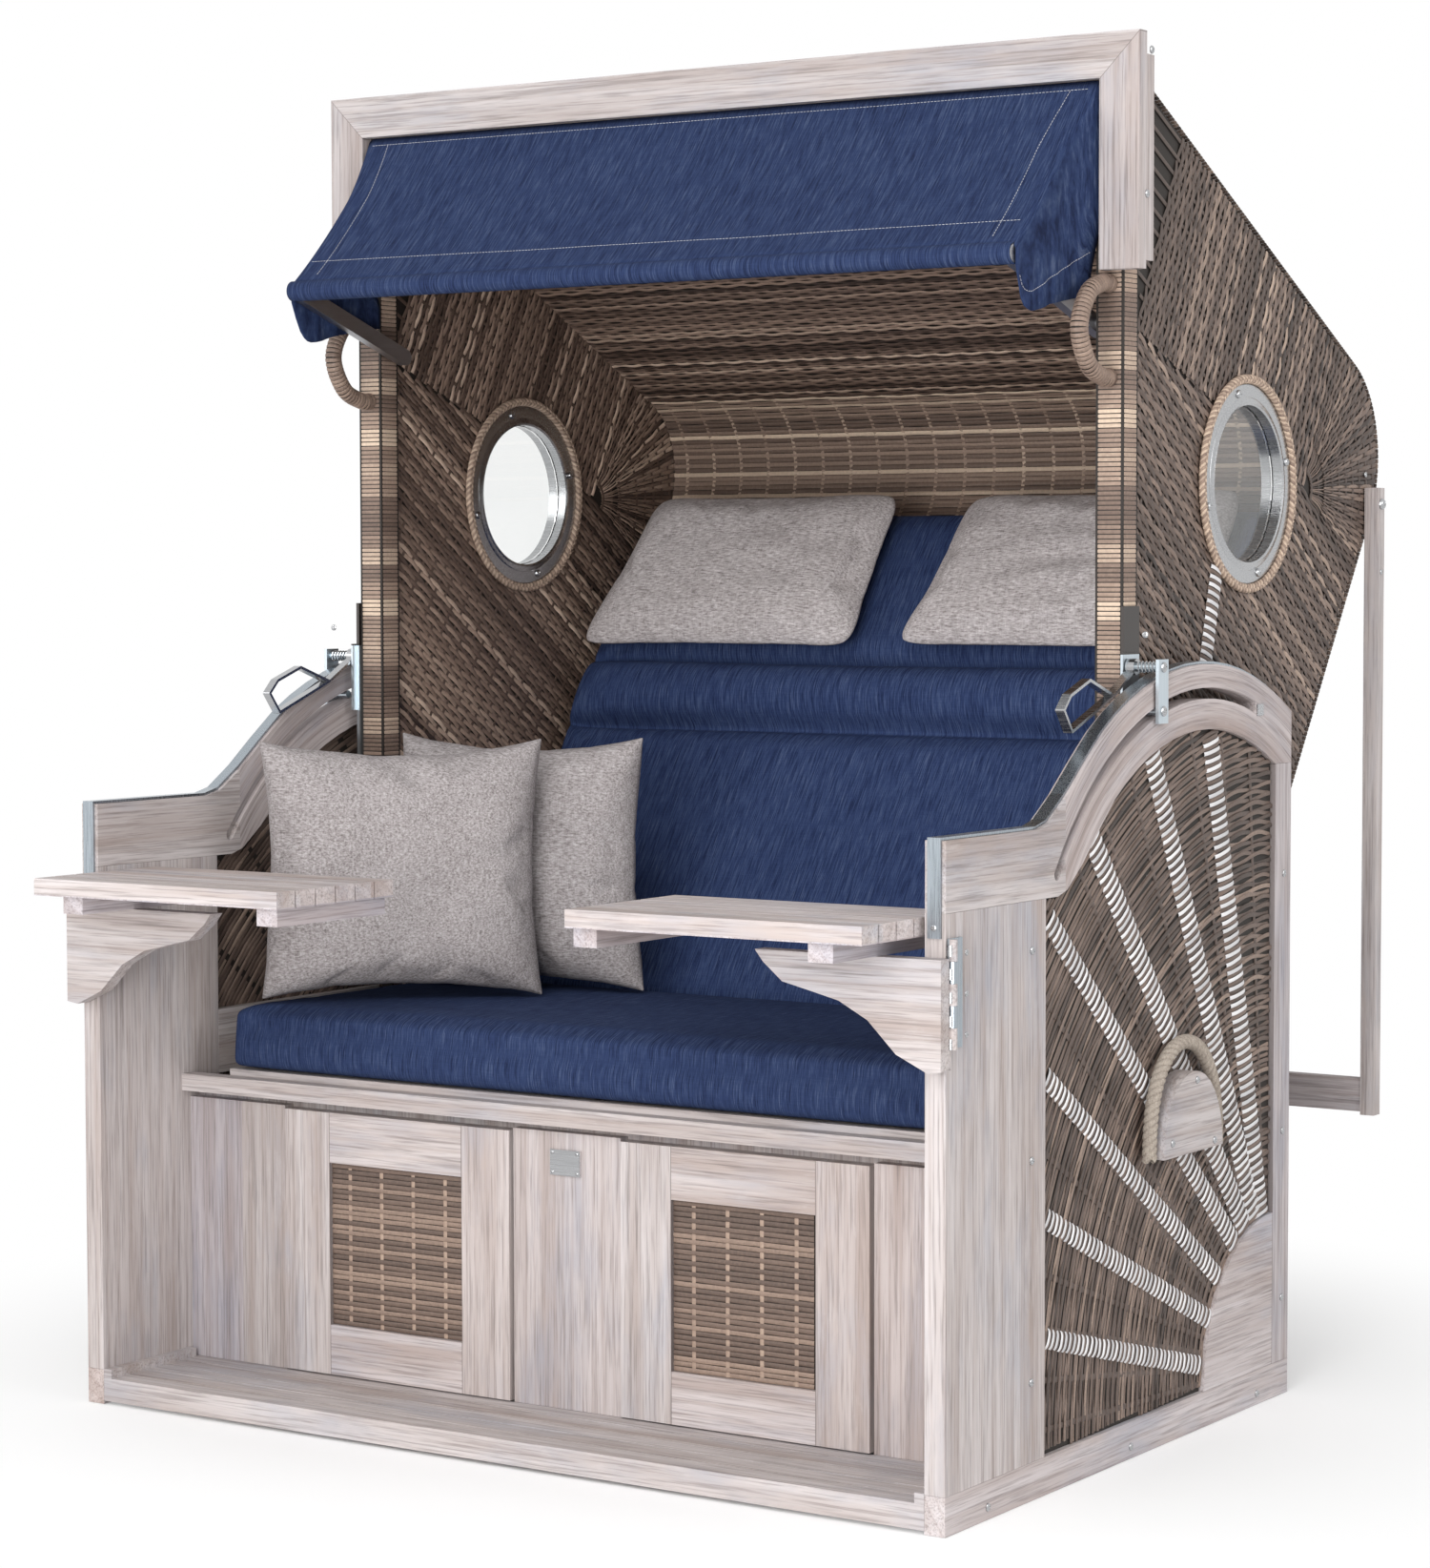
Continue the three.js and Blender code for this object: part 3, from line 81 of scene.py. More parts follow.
def soft_light(name, at, to, size, watts):
    data = bpy.data.lights.new(name, "AREA")
    data.shape = "RECTANGLE"
    data.size, data.size_y = size
    data.energy = watts
    lamp = bpy.data.objects.new(name, data)
    lamp.location = at
    lamp.rotation_euler = (Vector(to) - Vector(at)).to_track_quat("-Z", "Y").to_euler()
    bpy.context.collection.objects.link(lamp)


def wire(tree, kind, inputs=None, **settings):
    """A new node; each of its inputs is given as a value or as a socket to link from."""
    made = tree.nodes.new(kind)
    for name, value in settings.items():
        setattr(made, name, value)
    for key, value in (inputs or {}).items():
        if isinstance(value, bpy.types.NodeSocket):
            tree.links.new(value, made.inputs[key])
        else:
            made.inputs[key].default_value = value
    return made


def seen_by_eye(tree):
    """1 for camera, glossy and transmission rays."""
    path = tree.nodes.new("ShaderNodeLightPath").outputs
    total = path["Is Camera Ray"]
    for name in ("Is Glossy Ray", "Is Transmission Ray"):
        total = wire(tree, "ShaderNodeMath", {0: total, 1: path[name]}, operation="MAXIMUM").outputs[0]
    return total


def set_world():
    world = bpy.data.worlds.new("studio")
    bpy.context.scene.world = world
    world.use_nodes = True
    tree = world.node_tree
    tree.nodes.clear()
    plain, white = [
        wire(tree, "ShaderNodeBackground", {"Color": (1, 1, 1, 1), "Strength": strength}).outputs[0]
        for strength in (WORLD_LIGHT, 1)]
    mix = wire(tree, "ShaderNodeMixShader", {0: seen_by_eye(tree), 1: plain, 2: white})
    wire(tree, "ShaderNodeOutputWorld", {"Surface": mix.outputs[0]})


def set_floor():
    """A pale floor that keeps the chair's shadow and fades to plain white round it."""
    mesh = bpy.data.meshes.new("floor")
    mesh.from_pydata([(-9, -9, 0), (9, -9, 0), (9, 9, 0), (-9, 9, 0)], [], [(0, 1, 2, 3)])
    floor = bpy.data.objects.new("floor", mesh)
    floor.location = (0, 0, -0.0006)
    bpy.context.collection.objects.link(floor)
    material = bpy.data.materials.new("pale_floor")
    material.use_nodes = True
    tree = material.node_tree
    shader = tree.nodes["Principled BSDF"]
    shader.inputs["Base Color"].default_value = (0.95, 0.95, 0.95, 1)
    shader.inputs["Roughness"].default_value = 0.9
    here = tree.nodes.new("ShaderNodeTexCoord").outputs["Object"]
    length = wire(tree, "ShaderNodeVectorMath", {0: here}, operation="LENGTH").outputs["Value"]
    fade = wire(tree, "ShaderNodeMapRange", {"From Min": FADE[0], "From Max": FADE[1], "Value": length},
                interpolation_type="SMOOTHSTEP")
    both = wire(tree, "ShaderNodeMath", {0: fade.outputs[0], 1: seen_by_eye(tree)}, operation="MULTIPLY")
    white = wire(tree, "ShaderNodeEmission")
    mix = wire(tree, "ShaderNodeMixShader", {0: both.outputs[0], 1: shader.outputs[0], 2: white.outputs[0]})
    tree.links.new(mix.outputs[0], tree.nodes["Material Output"].inputs["Surface"])
    mesh.materials.append(material)


set_camera()
set_world()
set_floor()
soft_light("key", (1.6, -4.2, 3.4), (0, 0, 0.9), (2.6, 2.6), 86)
soft_light("side", (4.4, -0.6, 2.6), (0, 0, 0.8), (2.4, 2.4), 60)
soft_light("fill", (-3.6, -3.2, 2.2), (0, 0, 0.8), (2.6, 2.6), 45)
soft_light("low", (0.9, -3.4, 0.9), (-0.1, 0.4, 1.3), (1.8, 1.2), 56)
bpy.context.scene.view_settings.view_transform = "Standard"


# Materials
class Shade:
    """A material being put together from nodes."""

    def __init__(self, name, rough=0.6, metal=0.0):
        self.material = bpy.data.materials.new(name)
        self.material.use_nodes = True
        self.tree = self.material.node_tree
        self.shader = self.tree.nodes["Principled BSDF"]
        self.shader.inputs["Roughness"].default_value = rough
        self.shader.inputs["Metallic"].default_value = metal
        self.coord = self.tree.nodes.new("ShaderNodeTexCoord").outputs["Object"]

    def node(self, kind, inputs=None, **settings):
        return wire(self.tree, kind, inputs, **settings)

    def link(self, a, b):
        self.tree.links.new(a, b)

    def scaled(self, scale, source=None):
        return self.node("ShaderNodeMapping", {"Scale": scale, "Vector": source or self.coord}).outputs[0]

    def noise(self, scale, vector=None, detail=4.0, rough=0.55):
        return self.node("ShaderNodeTexNoise", {"Scale": scale, "Detail": detail, "Roughness": rough,
                                                "Vector": vector or self.coord}).outputs["Fac"]

    def ramp(self, source, stops):
        made = self.node("ShaderNodeValToRGB")
        elements = made.color_ramp.elements
        while len(elements) < len(stops):
            elements.new(0.5)
        for element, (at, colour) in zip(elements, stops):
            element.position = at
            element.color = (*colour, 1) if len(colour) == 3 else colour
        self.link(source, made.inputs[0])
        return made.outputs[0]

    def math(self, operation, a, b):
        return self.node("ShaderNodeMath", {0: a, 1: b}, operation=operation).outputs[0]

    def mix(self, factor, a, b, blend="MIX"):
        a, b = [(*value, 1) if isinstance(value, tuple) else value for value in (a, b)]
        made = self.node("ShaderNodeMix", {0: factor, 6: a, 7: b}, data_type="RGBA", blend_type=blend)
        return made.outputs[2]

    def attribute(self, name):
        return self.node("ShaderNodeAttribute", attribute_name=name).outputs["Fac"]

    def colour(self, source):
        self.link(source, self.shader.inputs["Base Color"])

    def rough(self, source):
        self.link(source, self.shader.inputs["Roughness"])

    def bump(self, height, strength, distance):
        made = self.node("ShaderNodeBump", {"Strength": strength, "Distance": distance, "Height": height})
        self.link(made.outputs[0], self.shader.inputs["Normal"])


def side_of(shade, normal, distance):
    """One where a point lies past a plane, nought before it."""
    dot = shade.node("ShaderNodeVectorMath", {0: shade.coord, 1: normal}, operation="DOT_PRODUCT")
    return shade.math("GREATER_THAN", dot.outputs["Value"], distance)


def grain_space(shade, axis, offset):
    """The point with the grain turned to the third axis; "arch" bends the grain round the hood's pivot."""
    x, y, z = shade.node("ShaderNodeSeparateXYZ", {0: shade.coord}).outputs
    if axis == "arch":
        out = shade.math("SUBTRACT", y, (605.0 - SHIFT) * MM)
        high = shade.math("SUBTRACT", z, 0.42)
        radius = shade.math("SQRT", shade.math("ADD", shade.math("MULTIPLY", out, out),
                                               shade.math("MULTIPLY", high, high)), 0.0)
        parts = (x, radius, shade.math("MULTIPLY", shade.math("ARCTAN2", high, out), 0.43))
    else:
        parts = {"X": (y, z, x), "Y": (x, z, y), "Z": (x, y, z)}[axis]
    moved = {i: shade.math("ADD", part, offset) for i, part in enumerate(parts)}
    return shade.node("ShaderNodeCombineXYZ", moved).outputs[0]


def timber(name, axis, zones=(), joints=(), light=1.0):
    """Whitewashed weathered boards. A zone is (planes, grain, tint); a joint is a plane's normal and
    place."""
    shade = Shade(name, 0.74)
    vector = grain_space(shade, axis, 0.0)
    tint = (1.0, 1.0, 1.0)
    for number, (planes, grain, colour) in enumerate(zones):
        mask = None
        for normal, distance in planes:
            here = side_of(shade, normal, distance)
            mask = here if mask is None else shade.math("MULTIPLY", mask, here)
        vector = shade.mix(mask, vector, grain_space(shade, grain, 0.731 * (number + 1)))
        tint = shade.mix(mask, tint, colour)
    bands = shade.noise(1.0, shade.scaled((27, 27, 1.3), vector), 5.0, 0.5)
    fine = shade.noise(1.0, shade.scaled((400, 400, 11), vector), 3.0, 0.6)
    pores = shade.noise(1.0, shade.scaled((190, 190, 5), vector), 4.0, 0.65)
    patch = shade.noise(1.0, shade.scaled((13, 13, 4), vector), 4.0, 0.6)
    worn = shade.noise(1.0, shade.scaled((26, 26, 9), vector), 5.0, 0.7)
    ring_inputs = {"Scale": 5.5, "Distortion": 2.6, "Detail": 2.0, "Detail Scale": 1.2,
                   "Vector": shade.scaled((4.6, 4.6, 0.55), vector)}
    rings = shade.node("ShaderNodeTexWave", ring_inputs, wave_type="RINGS", rings_direction="Z")
    pale, white, warm, dark, grey = [tuple(c * light for c in colour) for colour in (
        (0.435, 0.382, 0.367), (0.53, 0.485, 0.478), (0.355, 0.290, 0.264), (0.165, 0.137, 0.13),
        (0.335, 0.34, 0.385))]
    body = shade.ramp(bands, [(0.26, warm), (0.42, pale), (0.55, white), (0.66, pale), (0.80, warm)])
    marks = ((patch, 0.50, 0.0, 0.72, 0.75, grey), (worn, 0.56, 0.0, 0.72, 0.55, white),
             (rings.outputs["Fac"], 0.0, 0.34, 0.22, 0.0, warm), (pores, 0.33, 0.46, 0.47, 0.0, dark),
             (fine, 0.34, 0.5, 0.50, 0.0, dark))
    for source, low, at_low, high, at_high, colour in marks:
        body = shade.mix(shade.ramp(source, [(low, (at_low,) * 3), (high, (at_high,) * 3)]), body, colour)
    body = shade.mix(1.0, body, tint, "MULTIPLY")
    for normal, distance in joints:
        near = side_of(shade, normal, distance - 0.0006)
        past = side_of(shade, normal, distance + 0.0006)
        body = shade.mix(shade.math("MULTIPLY", shade.math("SUBTRACT", near, past), 0.75), body, dark)
    shade.colour(body)
    shade.bump(shade.math("ADD", fine, shade.math("MULTIPLY", pores, 0.8)), 0.35, 0.001)
    return shade.material


def cane(name, stops, rough=0.5):
    """Flat cane whose colour differs from strand to strand."""
    shade = Shade(name, rough)
    tone = shade.attribute("tone")
    streak = shade.noise(260.0, None, 3.0, 0.6)
    mixed = shade.math("ADD", tone, shade.math("MULTIPLY", shade.math("SUBTRACT", streak, 0.5), 0.28))
    shade.colour(shade.ramp(mixed, stops))
    shade.bump(streak, 0.25, 0.0005)
    return shade.material


def metal(name, colour, rough, brushed):
    """Metal with fine brushed lines along one axis."""
    shade = Shade(name, rough, 1.0)
    stretch = [900.0] * 3
    stretch["XYZ".index(brushed)] = 900.0 / 40
    lines = shade.noise(1.0, shade.scaled(stretch), 2.0)
    shade.colour(shade.mix(shade.ramp(lines, [(0.35, (0, 0, 0)), (0.65, (1, 1, 1))]),
                           tuple(c * 0.86 for c in colour), colour))
    shade.rough(shade.ramp(lines, [(0.3, (rough * 0.7,) * 3), (0.7, (rough * 1.3,) * 3)]))
    shade.bump(lines, 0.08, 0.0002)
    return shade.material


def melange(name, stops, thread, slub, crossed, bump=0.5):
    """Woven cloth from yarn of uneven colour: thread is a yarn's width and slub its patches' length."""
    shade = Shade(name, 0.92)
    w, l = 1 / thread, 1 / slub
    along = shade.noise(1.0, shade.scaled((w, l, l)), 3.0, 0.7)
    across = shade.noise(1.0, shade.scaled((l * 1.4, w, w)), 3.0, 0.7)
    mixed = shade.math("ADD", shade.math("MULTIPLY", along, 1 - crossed),
                       shade.math("MULTIPLY", across, crossed))
    fade = shade.noise(9.0, None, 3.0)
    mixed = shade.math("ADD", mixed, shade.math("MULTIPLY", shade.math("SUBTRACT", fade, 0.5), 0.07))
    shade.colour(shade.ramp(mixed, stops))
    shade.shader.inputs["Specular IOR Level"].default_value = 0.12
    shade.bump(mixed, bump, 0.0009)
    return shade.material


TIMBER = {axis: timber(f"timber_{axis.lower()}", axis) for axis in "XYZ"}
CANE = cane("brown_cane", [(0.0, (0.030, 0.020, 0.016)), (0.33, (0.088, 0.060, 0.048)),
                           (0.66, (0.190, 0.135, 0.108)), (1.0, (0.43, 0.32, 0.25))])
# Painted light: the same cane made lighter for the inner faces of the hood's sides and roof, standing in for
# light inside the shaded hood.
INNER_CANE_PAINTED_LIGHT = cane("inner_cane_painted_light", [(0.0, (0.042, 0.026, 0.020)), (0.3, (0.120, 0.078, 0.060)),
                                 (0.62, (0.31, 0.215, 0.165)), (1.0, (0.72, 0.55, 0.43))])
# Painted shade: near-black plates under the strands, and the posts and grab handles under their windings,
# stand for the shadow seen through the gaps between strands.
CANE_SHADE_BACKING = cane("painted_shade_behind_cane", [(0.0, (0.018, 0.013, 0.010)), (1.0, (0.05, 0.036, 0.028))], 0.7)
STRIP = cane("flat_cane", [(0.0, (0.055, 0.036, 0.029)), (0.32, (0.165, 0.112, 0.087)),
                           (0.6, (0.33, 0.235, 0.18)), (1.0, (0.74, 0.58, 0.44))], 0.55)
WHITE_STRIP = cane("pale_strip", [(0.0, (0.50, 0.49, 0.50)), (1.0, (0.78, 0.765, 0.77))], 0.4)
STEEL = metal("stainless", (0.47, 0.475, 0.485), 0.24, "X")
ZINC = metal("zinc", (0.40, 0.445, 0.485), 0.3, "Z")


def lit(light, stops):
    """Colour stops made lighter or darker."""
    return [(at, tuple(c * light for c in colour)) for at, colour in stops]


def navy(name, light):
    stops = ((0.36, (0.010, 0.016, 0.046)), (0.47, (0.020, 0.033, 0.088)),
             (0.56, (0.029, 0.047, 0.111)), (0.68, (0.066, 0.088, 0.160)))
    return melange(name, lit(light, stops), 0.0014, 0.034, 0.12)


def linen(name, light):
    stops = ((0.34, (0.165, 0.145, 0.142)), (0.45, (0.30, 0.27, 0.268)),
             (0.56, (0.42, 0.388, 0.388)), (0.68, (0.56, 0.53, 0.53)))
    return melange(name, lit(light, stops), 0.0021, 0.013, 0.76, 0.9)


# Painted light: the back cushion's navy is the same cloth made lighter, standing in for light inside the
# shaded hood.
NAVY, BACK_NAVY_PAINTED_LIGHT = navy("navy_cloth", 0.96), navy("back_navy_painted_light", 1.32)
# Painted light: the headrest pillows' linen is the same cloth made lighter, standing in for light inside the
# shaded hood.
LINEN, HEAD_LINEN_PAINTED_LIGHT = linen("linen_cloth", 0.88), linen("head_linen_painted_light", 1.34)
ROPE_YARN = melange("rope_yarn", [(0.3, (0.20, 0.165, 0.14)), (0.7, (0.50, 0.44, 0.375))], 0.0012, 0.006, 0.5)


def clear_glass():
    shade = Shade("clear_glass", 0.02)
    shade.shader.inputs["Base Color"].default_value = (0.97, 0.985, 0.98, 1)
    shade.shader.inputs["Transmission Weight"].default_value = 1.0
    shade.shader.inputs["IOR"].default_value = 1.45
    return shade.material


GLASS = clear_glass()


# Chair geometry, in millimetres
PIVOT = np.array([605.0, 420.0])               # the hood's pivot, as [y, z]
BACK_DEGREES = 55.1                             # how steeply the back stands
BACK = math.radians(BACK_DEGREES)
UP_BACK = np.array([math.cos(BACK), math.sin(BACK)])
OUT_BACK = np.array([math.sin(BACK), -math.cos(BACK)])
HUB = 93.4                                      # radius of a hood side's round foot about the pivot
ROOF = 0.504                                    # how steeply the roof falls to the back
ROOF_ANGLE = math.atan(ROOF)
DOWN_ROOF = np.array([math.cos(ROOF_ANGLE), -math.sin(ROOF_ANGLE)])
OUT_ROOF = np.array([math.sin(ROOF_ANGLE), math.cos(ROOF_ANGLE)])
CORNER_RADIUS = 130.0
PORT = np.array([808.0, 1112.0])                # the porthole's centre
ROOF_FRONT = 1592.8                             # the roof's height where it starts, at y 482
POST_FRONT, POST_REAR = 482.5, 518.3
HOOD_INNER, HOOD_OUTER = 530.0, 554.5           # the two faces of a hood side
SHELL = 24.0                                    # how thick the roof and the back are
STRAND_DEPTH = 2.1                              # from the solid's face in to a strand's middle
CORE_DEPTH = 3.8                                # and to the plate under the strands
CLOTH = 1.6                                     # how thick the awning's cloth is
BAR = (300.0, 1358.0)                           # the middle of the awning's bar
DRAWERS = (("left", -350, -150), ("right", 149, 343))     # where each drawer's woven filling begins and ends
LOCK_Y = 483.0                                  # where the lock's rod and pin run


def roof_z(y):
    """The roof's height at a depth."""
    return ROOF_FRONT - ROOF * (y - 482)


def on_back(s, n):
    """A point in the side plane: s up the back from the pivot, n towards the sitter."""
    return PIVOT + s * UP_BACK - n * OUT_BACK


def arc(centre, radius, start, end, steps):
    angles = np.radians(np.linspace(start, end, steps + 1))
    return np.stack([centre[0] + radius * np.cos(angles), centre[1] + radius * np.sin(angles)], 1)


def distances(path):
    """How far along a path each of its points lies."""
    return np.concatenate([[0], np.cumsum(np.linalg.norm(np.diff(path, axis=0), axis=1))])


def along_line(line, places):
    """Points and outward normals at distances along a line of [y, z] points."""
    lengths = distances(line)
    found = []
    for at in places:
        i = min(max(np.searchsorted(lengths, at) - 1, 0), len(line) - 2)
        along = (line[i + 1] - line[i]) / (lengths[i + 1] - lengths[i])
        found.append((line[i] + along * (at - lengths[i]), np.array([-along[1], along[0]])))
    return found


def metres(points):
    """Points given in millimetres from the box's front face, as metres from the shared origin."""
    points = np.asarray(points, float) * MM
    points[..., 1] -= SHIFT * MM
    return points


def hood_corner():
    """Where the roof's line and the back's line would meet, before the corner is rounded."""
    y0, z0 = on_back(0, -HUB)
    slope = UP_BACK[1] / UP_BACK[0]
    y = (ROOF_FRONT + ROOF * 482 - z0 + slope * y0) / (slope + ROOF)
    return np.array([y, roof_z(y)])


CORNER = hood_corner()
TURN = 180 - math.degrees(ROOF_ANGLE) - BACK_DEGREES
TANGENT = CORNER_RADIUS * math.tan(math.radians(TURN / 2))
ROUND = CORNER - TANGENT * DOWN_ROOF - CORNER_RADIUS * OUT_ROOF      # the rounded corner's centre


def hood_line(front, low, inset=0.0, steps=14):
    """The hood's outer line from the roof's front over the corner and down the back."""
    radius = CORNER_RADIUS - inset
    first = 90 - math.degrees(ROOF_ANGLE)
    bend = arc(ROUND, radius, first, first - TURN, steps)
    start = np.array([front, roof_z(front)]) - inset * OUT_ROOF
    end = on_back(low, -HUB + inset)
    return np.vstack([[start], bend, [end]])


def inside(points, outline):
    """Which [y, z] points lie inside a closed outline."""
    outline = np.asarray(outline)
    x, y = points[:, 0], points[:, 1]
    held = np.zeros(len(points), bool)
    j = len(outline) - 1
    for i in range(len(outline)):
        (x0, y0), (x1, y1) = outline[i], outline[j]
        cross = (y0 > y) != (y1 > y)
        if y1 != y0:
            held ^= cross & (x < (x1 - x0) * (y - y0) / (y1 - y0) + x0)
        j = i
    return held


# Cane strands
class Strands:
    """Ribbons with a crowned section, gathered into one mesh with a tone for each."""

    def __init__(self):
        self.points, self.faces, self.tones = [], [], []
        self.count = 0

    def add(self, path, normal, width, thick, tone, flat=False, base=0.0):
        path = np.asarray(path, float)
        count = len(path)
        if count < 2:
            return
        tangent = np.gradient(path, axis=0)
        tangent /= np.maximum(np.linalg.norm(tangent, axis=1, keepdims=True), 1e-9)
        normal = np.broadcast_to(np.asarray(normal, float), path.shape)
        side = np.cross(tangent, normal)
        side /= np.maximum(np.linalg.norm(side, axis=1, keepdims=True), 1e-9)
        width = np.broadcast_to(np.asarray(width, float), (count,))[:, None] / 2
        section = ((-1, 0), (-0.62, 0.82), (0.62, 0.82), (1, 0)) if flat else ((-1, 0), (0, 1), (1, 0))
        rows = [path + side * width * a + normal * (base + thick * b) for a, b in section]
        across = len(section)
        self.points.append(np.stack(rows, 1).reshape(-1, 3))
        first = self.count + np.arange(count - 1)[:, None] * across + np.arange(across - 1)[None, :]
        first = first.reshape(-1)
        self.faces.append(np.stack([first, first + 1, first + across + 1, first + across], 1))
        self.tones.append(np.full(count * across, tone, np.float32))
        self.count += count * across

    def mesh(self, name):
        points = metres(np.vstack(self.points))
        faces = np.vstack(self.faces)
        mesh = bpy.data.meshes.new(name)
        mesh.vertices.add(len(points))
        mesh.vertices.foreach_set("co", points.astype(np.float32).reshape(-1))
        mesh.loops.add(faces.size)
        mesh.loops.foreach_set("vertex_index", faces.astype(np.int32).reshape(-1))
        mesh.polygons.add(len(faces))
        mesh.polygons.foreach_set("loop_start", np.arange(0, faces.size, 4, dtype=np.int32))
        mesh.polygons.foreach_set("use_smooth", np.ones(len(faces), bool))
        mesh.update(calc_edges=True)
        tone = mesh.attributes.new("tone", "FLOAT", "POINT")
        tone.data.foreach_set("value", np.concatenate(self.tones))
        mesh.validate()
        return mesh

    def piece(self, name, material, body, slot):
        return link(name, self.mesh(name), material, body)


def link(name, mesh, material, body, stands_for=()):
    """A visible piece with its material and body, standing for CAD nodes if any are named."""
    piece = bpy.data.objects.new(name, mesh)
    bpy.context.collection.objects.link(piece)
    mesh.materials.append(material)
    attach(piece, body)
    if stands_for:
        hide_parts(*stands_for)
    return piece


def mesh_from(name, verts, faces, smooth=True):
    mesh = bpy.data.meshes.new(name)
    mesh.from_pydata(verts, [], faces)
    mesh.validate()
    bm = bmesh.new()
    bm.from_mesh(mesh)
    bmesh.ops.recalc_face_normals(bm, faces=bm.faces)
    bm.to_mesh(mesh)
    bm.free()
    if smooth:
        mesh.shade_smooth()
        mesh.set_sharp_from_angle(angle=math.radians(35))
    return mesh


def small_box(verts, faces, low, high):
    first = len(verts)
    for x in (low[0], high[0]):
        for y in (low[1], high[1]):
            for z in (low[2], high[2]):
                verts.append(tuple(place(x, y, z)))
    for face in ((0, 1, 3, 2), (4, 6, 7, 5), (0, 4, 5, 1), (2, 3, 7, 6), (0, 2, 6, 4), (1, 5, 7, 3)):
        faces.append(tuple(first + i for i in face))


def bridge(faces, first, sides, rings=1):
    """Joins each ring of points to the next; every ring holds the same number of sides."""
    for k in range(rings):
        for i in range(sides):
            low, j = first + k * sides, (i + 1) % sides
            faces.append((low + i, low + j, low + sides + j, low + sides + i))


def rod(verts, faces, low, high, radius, centre):
    """An upright round bar between two heights; centre is (x, y)."""
    first, sides = len(verts), 14
    for z in (low, high):
        for i in range(sides):
            t = 2 * math.pi * i / sides
            verts.append(tuple(place(centre[0] + radius * math.cos(t), centre[1] + radius * math.sin(t), z)))
    faces.append(tuple(first + i for i in range(sides)))
    faces.append(tuple(first + sides + i for i in range(sides)))
    bridge(faces, first, sides)


def screw(verts, faces, centre, normal, radius, height, turn):
    """A small domed screw head with a cross slot, appended to lists."""
    normal = Vector(normal).normalized()
    a = normal.orthogonal().normalized()
    a.rotate(Matrix.Rotation(turn, 3, normal))
    b = normal.cross(a)
    centre = Vector(centre)
    sides = 16
    around = [2 * math.pi * i / sides for i in range(sides)]
    dome = ((1.0, 0.0), (0.97, 0.45), (0.78, 0.82), (0.5, 0.98))
    first = len(verts)
    for r, h in dome:
        for t in around:
            spot = centre + (a * math.cos(t) + b * math.sin(t)) * radius * r + normal * height * h
            verts.append(tuple(spot))
    slot = len(verts)
    for t in around:
        r, h = (0.42, 0.35) if abs(math.sin(2 * t)) < 0.5 else (0.2, 0.9)
        spot = centre + (a * math.cos(t) + b * math.sin(t)) * radius * r
        verts.append(tuple(spot + normal * height * h))
    bridge(faces, first, sides, len(dome))
    faces.append(tuple(slot + i for i in range(sides)))


def runs(keep, least):
    """The unbroken stretches of a path that are kept."""
    found, start = [], None
    for i, held in enumerate(np.append(keep, False)):
        if held and start is None:
            start = i
        elif not held and start is not None:
            if i - start >= least:
                found.append(slice(start, i))
            start = None
    return found


def strand_tone():
    """Most strands are mid brown; a few are pale or nearly black."""
    return float(np.clip(rng.normal(0.46, 0.2), 0, 1))


# Woven hood sides
STAR = np.array([975.0, 1109.0])                # the middle of the fan of strands, as [y, z]
SEAM = np.array([526.0, 1279.0])                # where the seam from there reaches the front post
FAN = 205                                       # how far out the fan's strands lie a pitch apart
PITCH = 6.4                                     # from strand to strand
STAKE = 21.0                                    # from stake to stake
WAVE = 1.1                                      # how far a strand rises and falls
STAKE_LOOK = (5.0, 0.5, 0.25)                   # a stake's width, thickness and tone
LOWER_DEPTH = 3.4                               # from the lower side's face in to a strand's middle


def side_outline(inset):
    """The hood's side panel between the post, the roof, the back and the hub."""
    top = hood_line(POST_REAR, 0, inset)
    dy, dz = POST_REAR - PIVOT[0], 620 - PIVOT[1]
    touch = math.degrees(math.atan2(dz, dy)) + math.degrees(math.acos(HUB / math.hypot(dy, dz)))
    hub = arc(PIVOT, HUB - inset, BACK_DEGREES - 90, touch - 360, 24)
    return np.vstack([top, hub, [[POST_REAR, 620]]])


def zone(points):
    """0 under the roof, 1 along the back, 2 round the corner."""
    rel = points - STAR
    along_roof, along_back = rel @ DOWN_ROOF, rel @ UP_BACK
    seam = SEAM - STAR
    above = seam[0] * rel[:, 1] - seam[1] * rel[:, 0] < 0
    result = np.where(above, 0, 1)
    result[(along_roof > 0) & (along_back > 0)] = 2
    result[(along_roof > 0) & (along_back <= 0)] = 1
    result[(along_roof <= 0) & (along_back > 0) & above] = 0
    return result


def wavy(distance, number):
    """Height of a strand over the panel, over one stake and under the next."""
    return WAVE * np.sin(np.pi * distance / STAKE + np.pi * (number % 2))


def lay_stake(strands, path, keep, x, out, width, thick, tone):
    """A plain stake in the side plane at x, wherever its [y, z] path is kept."""
    for part in runs(keep, 3):
        points = np.column_stack([np.full(len(path[part]), x), path[part]])
        strands.add(points, (out, 0, 0), width, thick, tone, True)


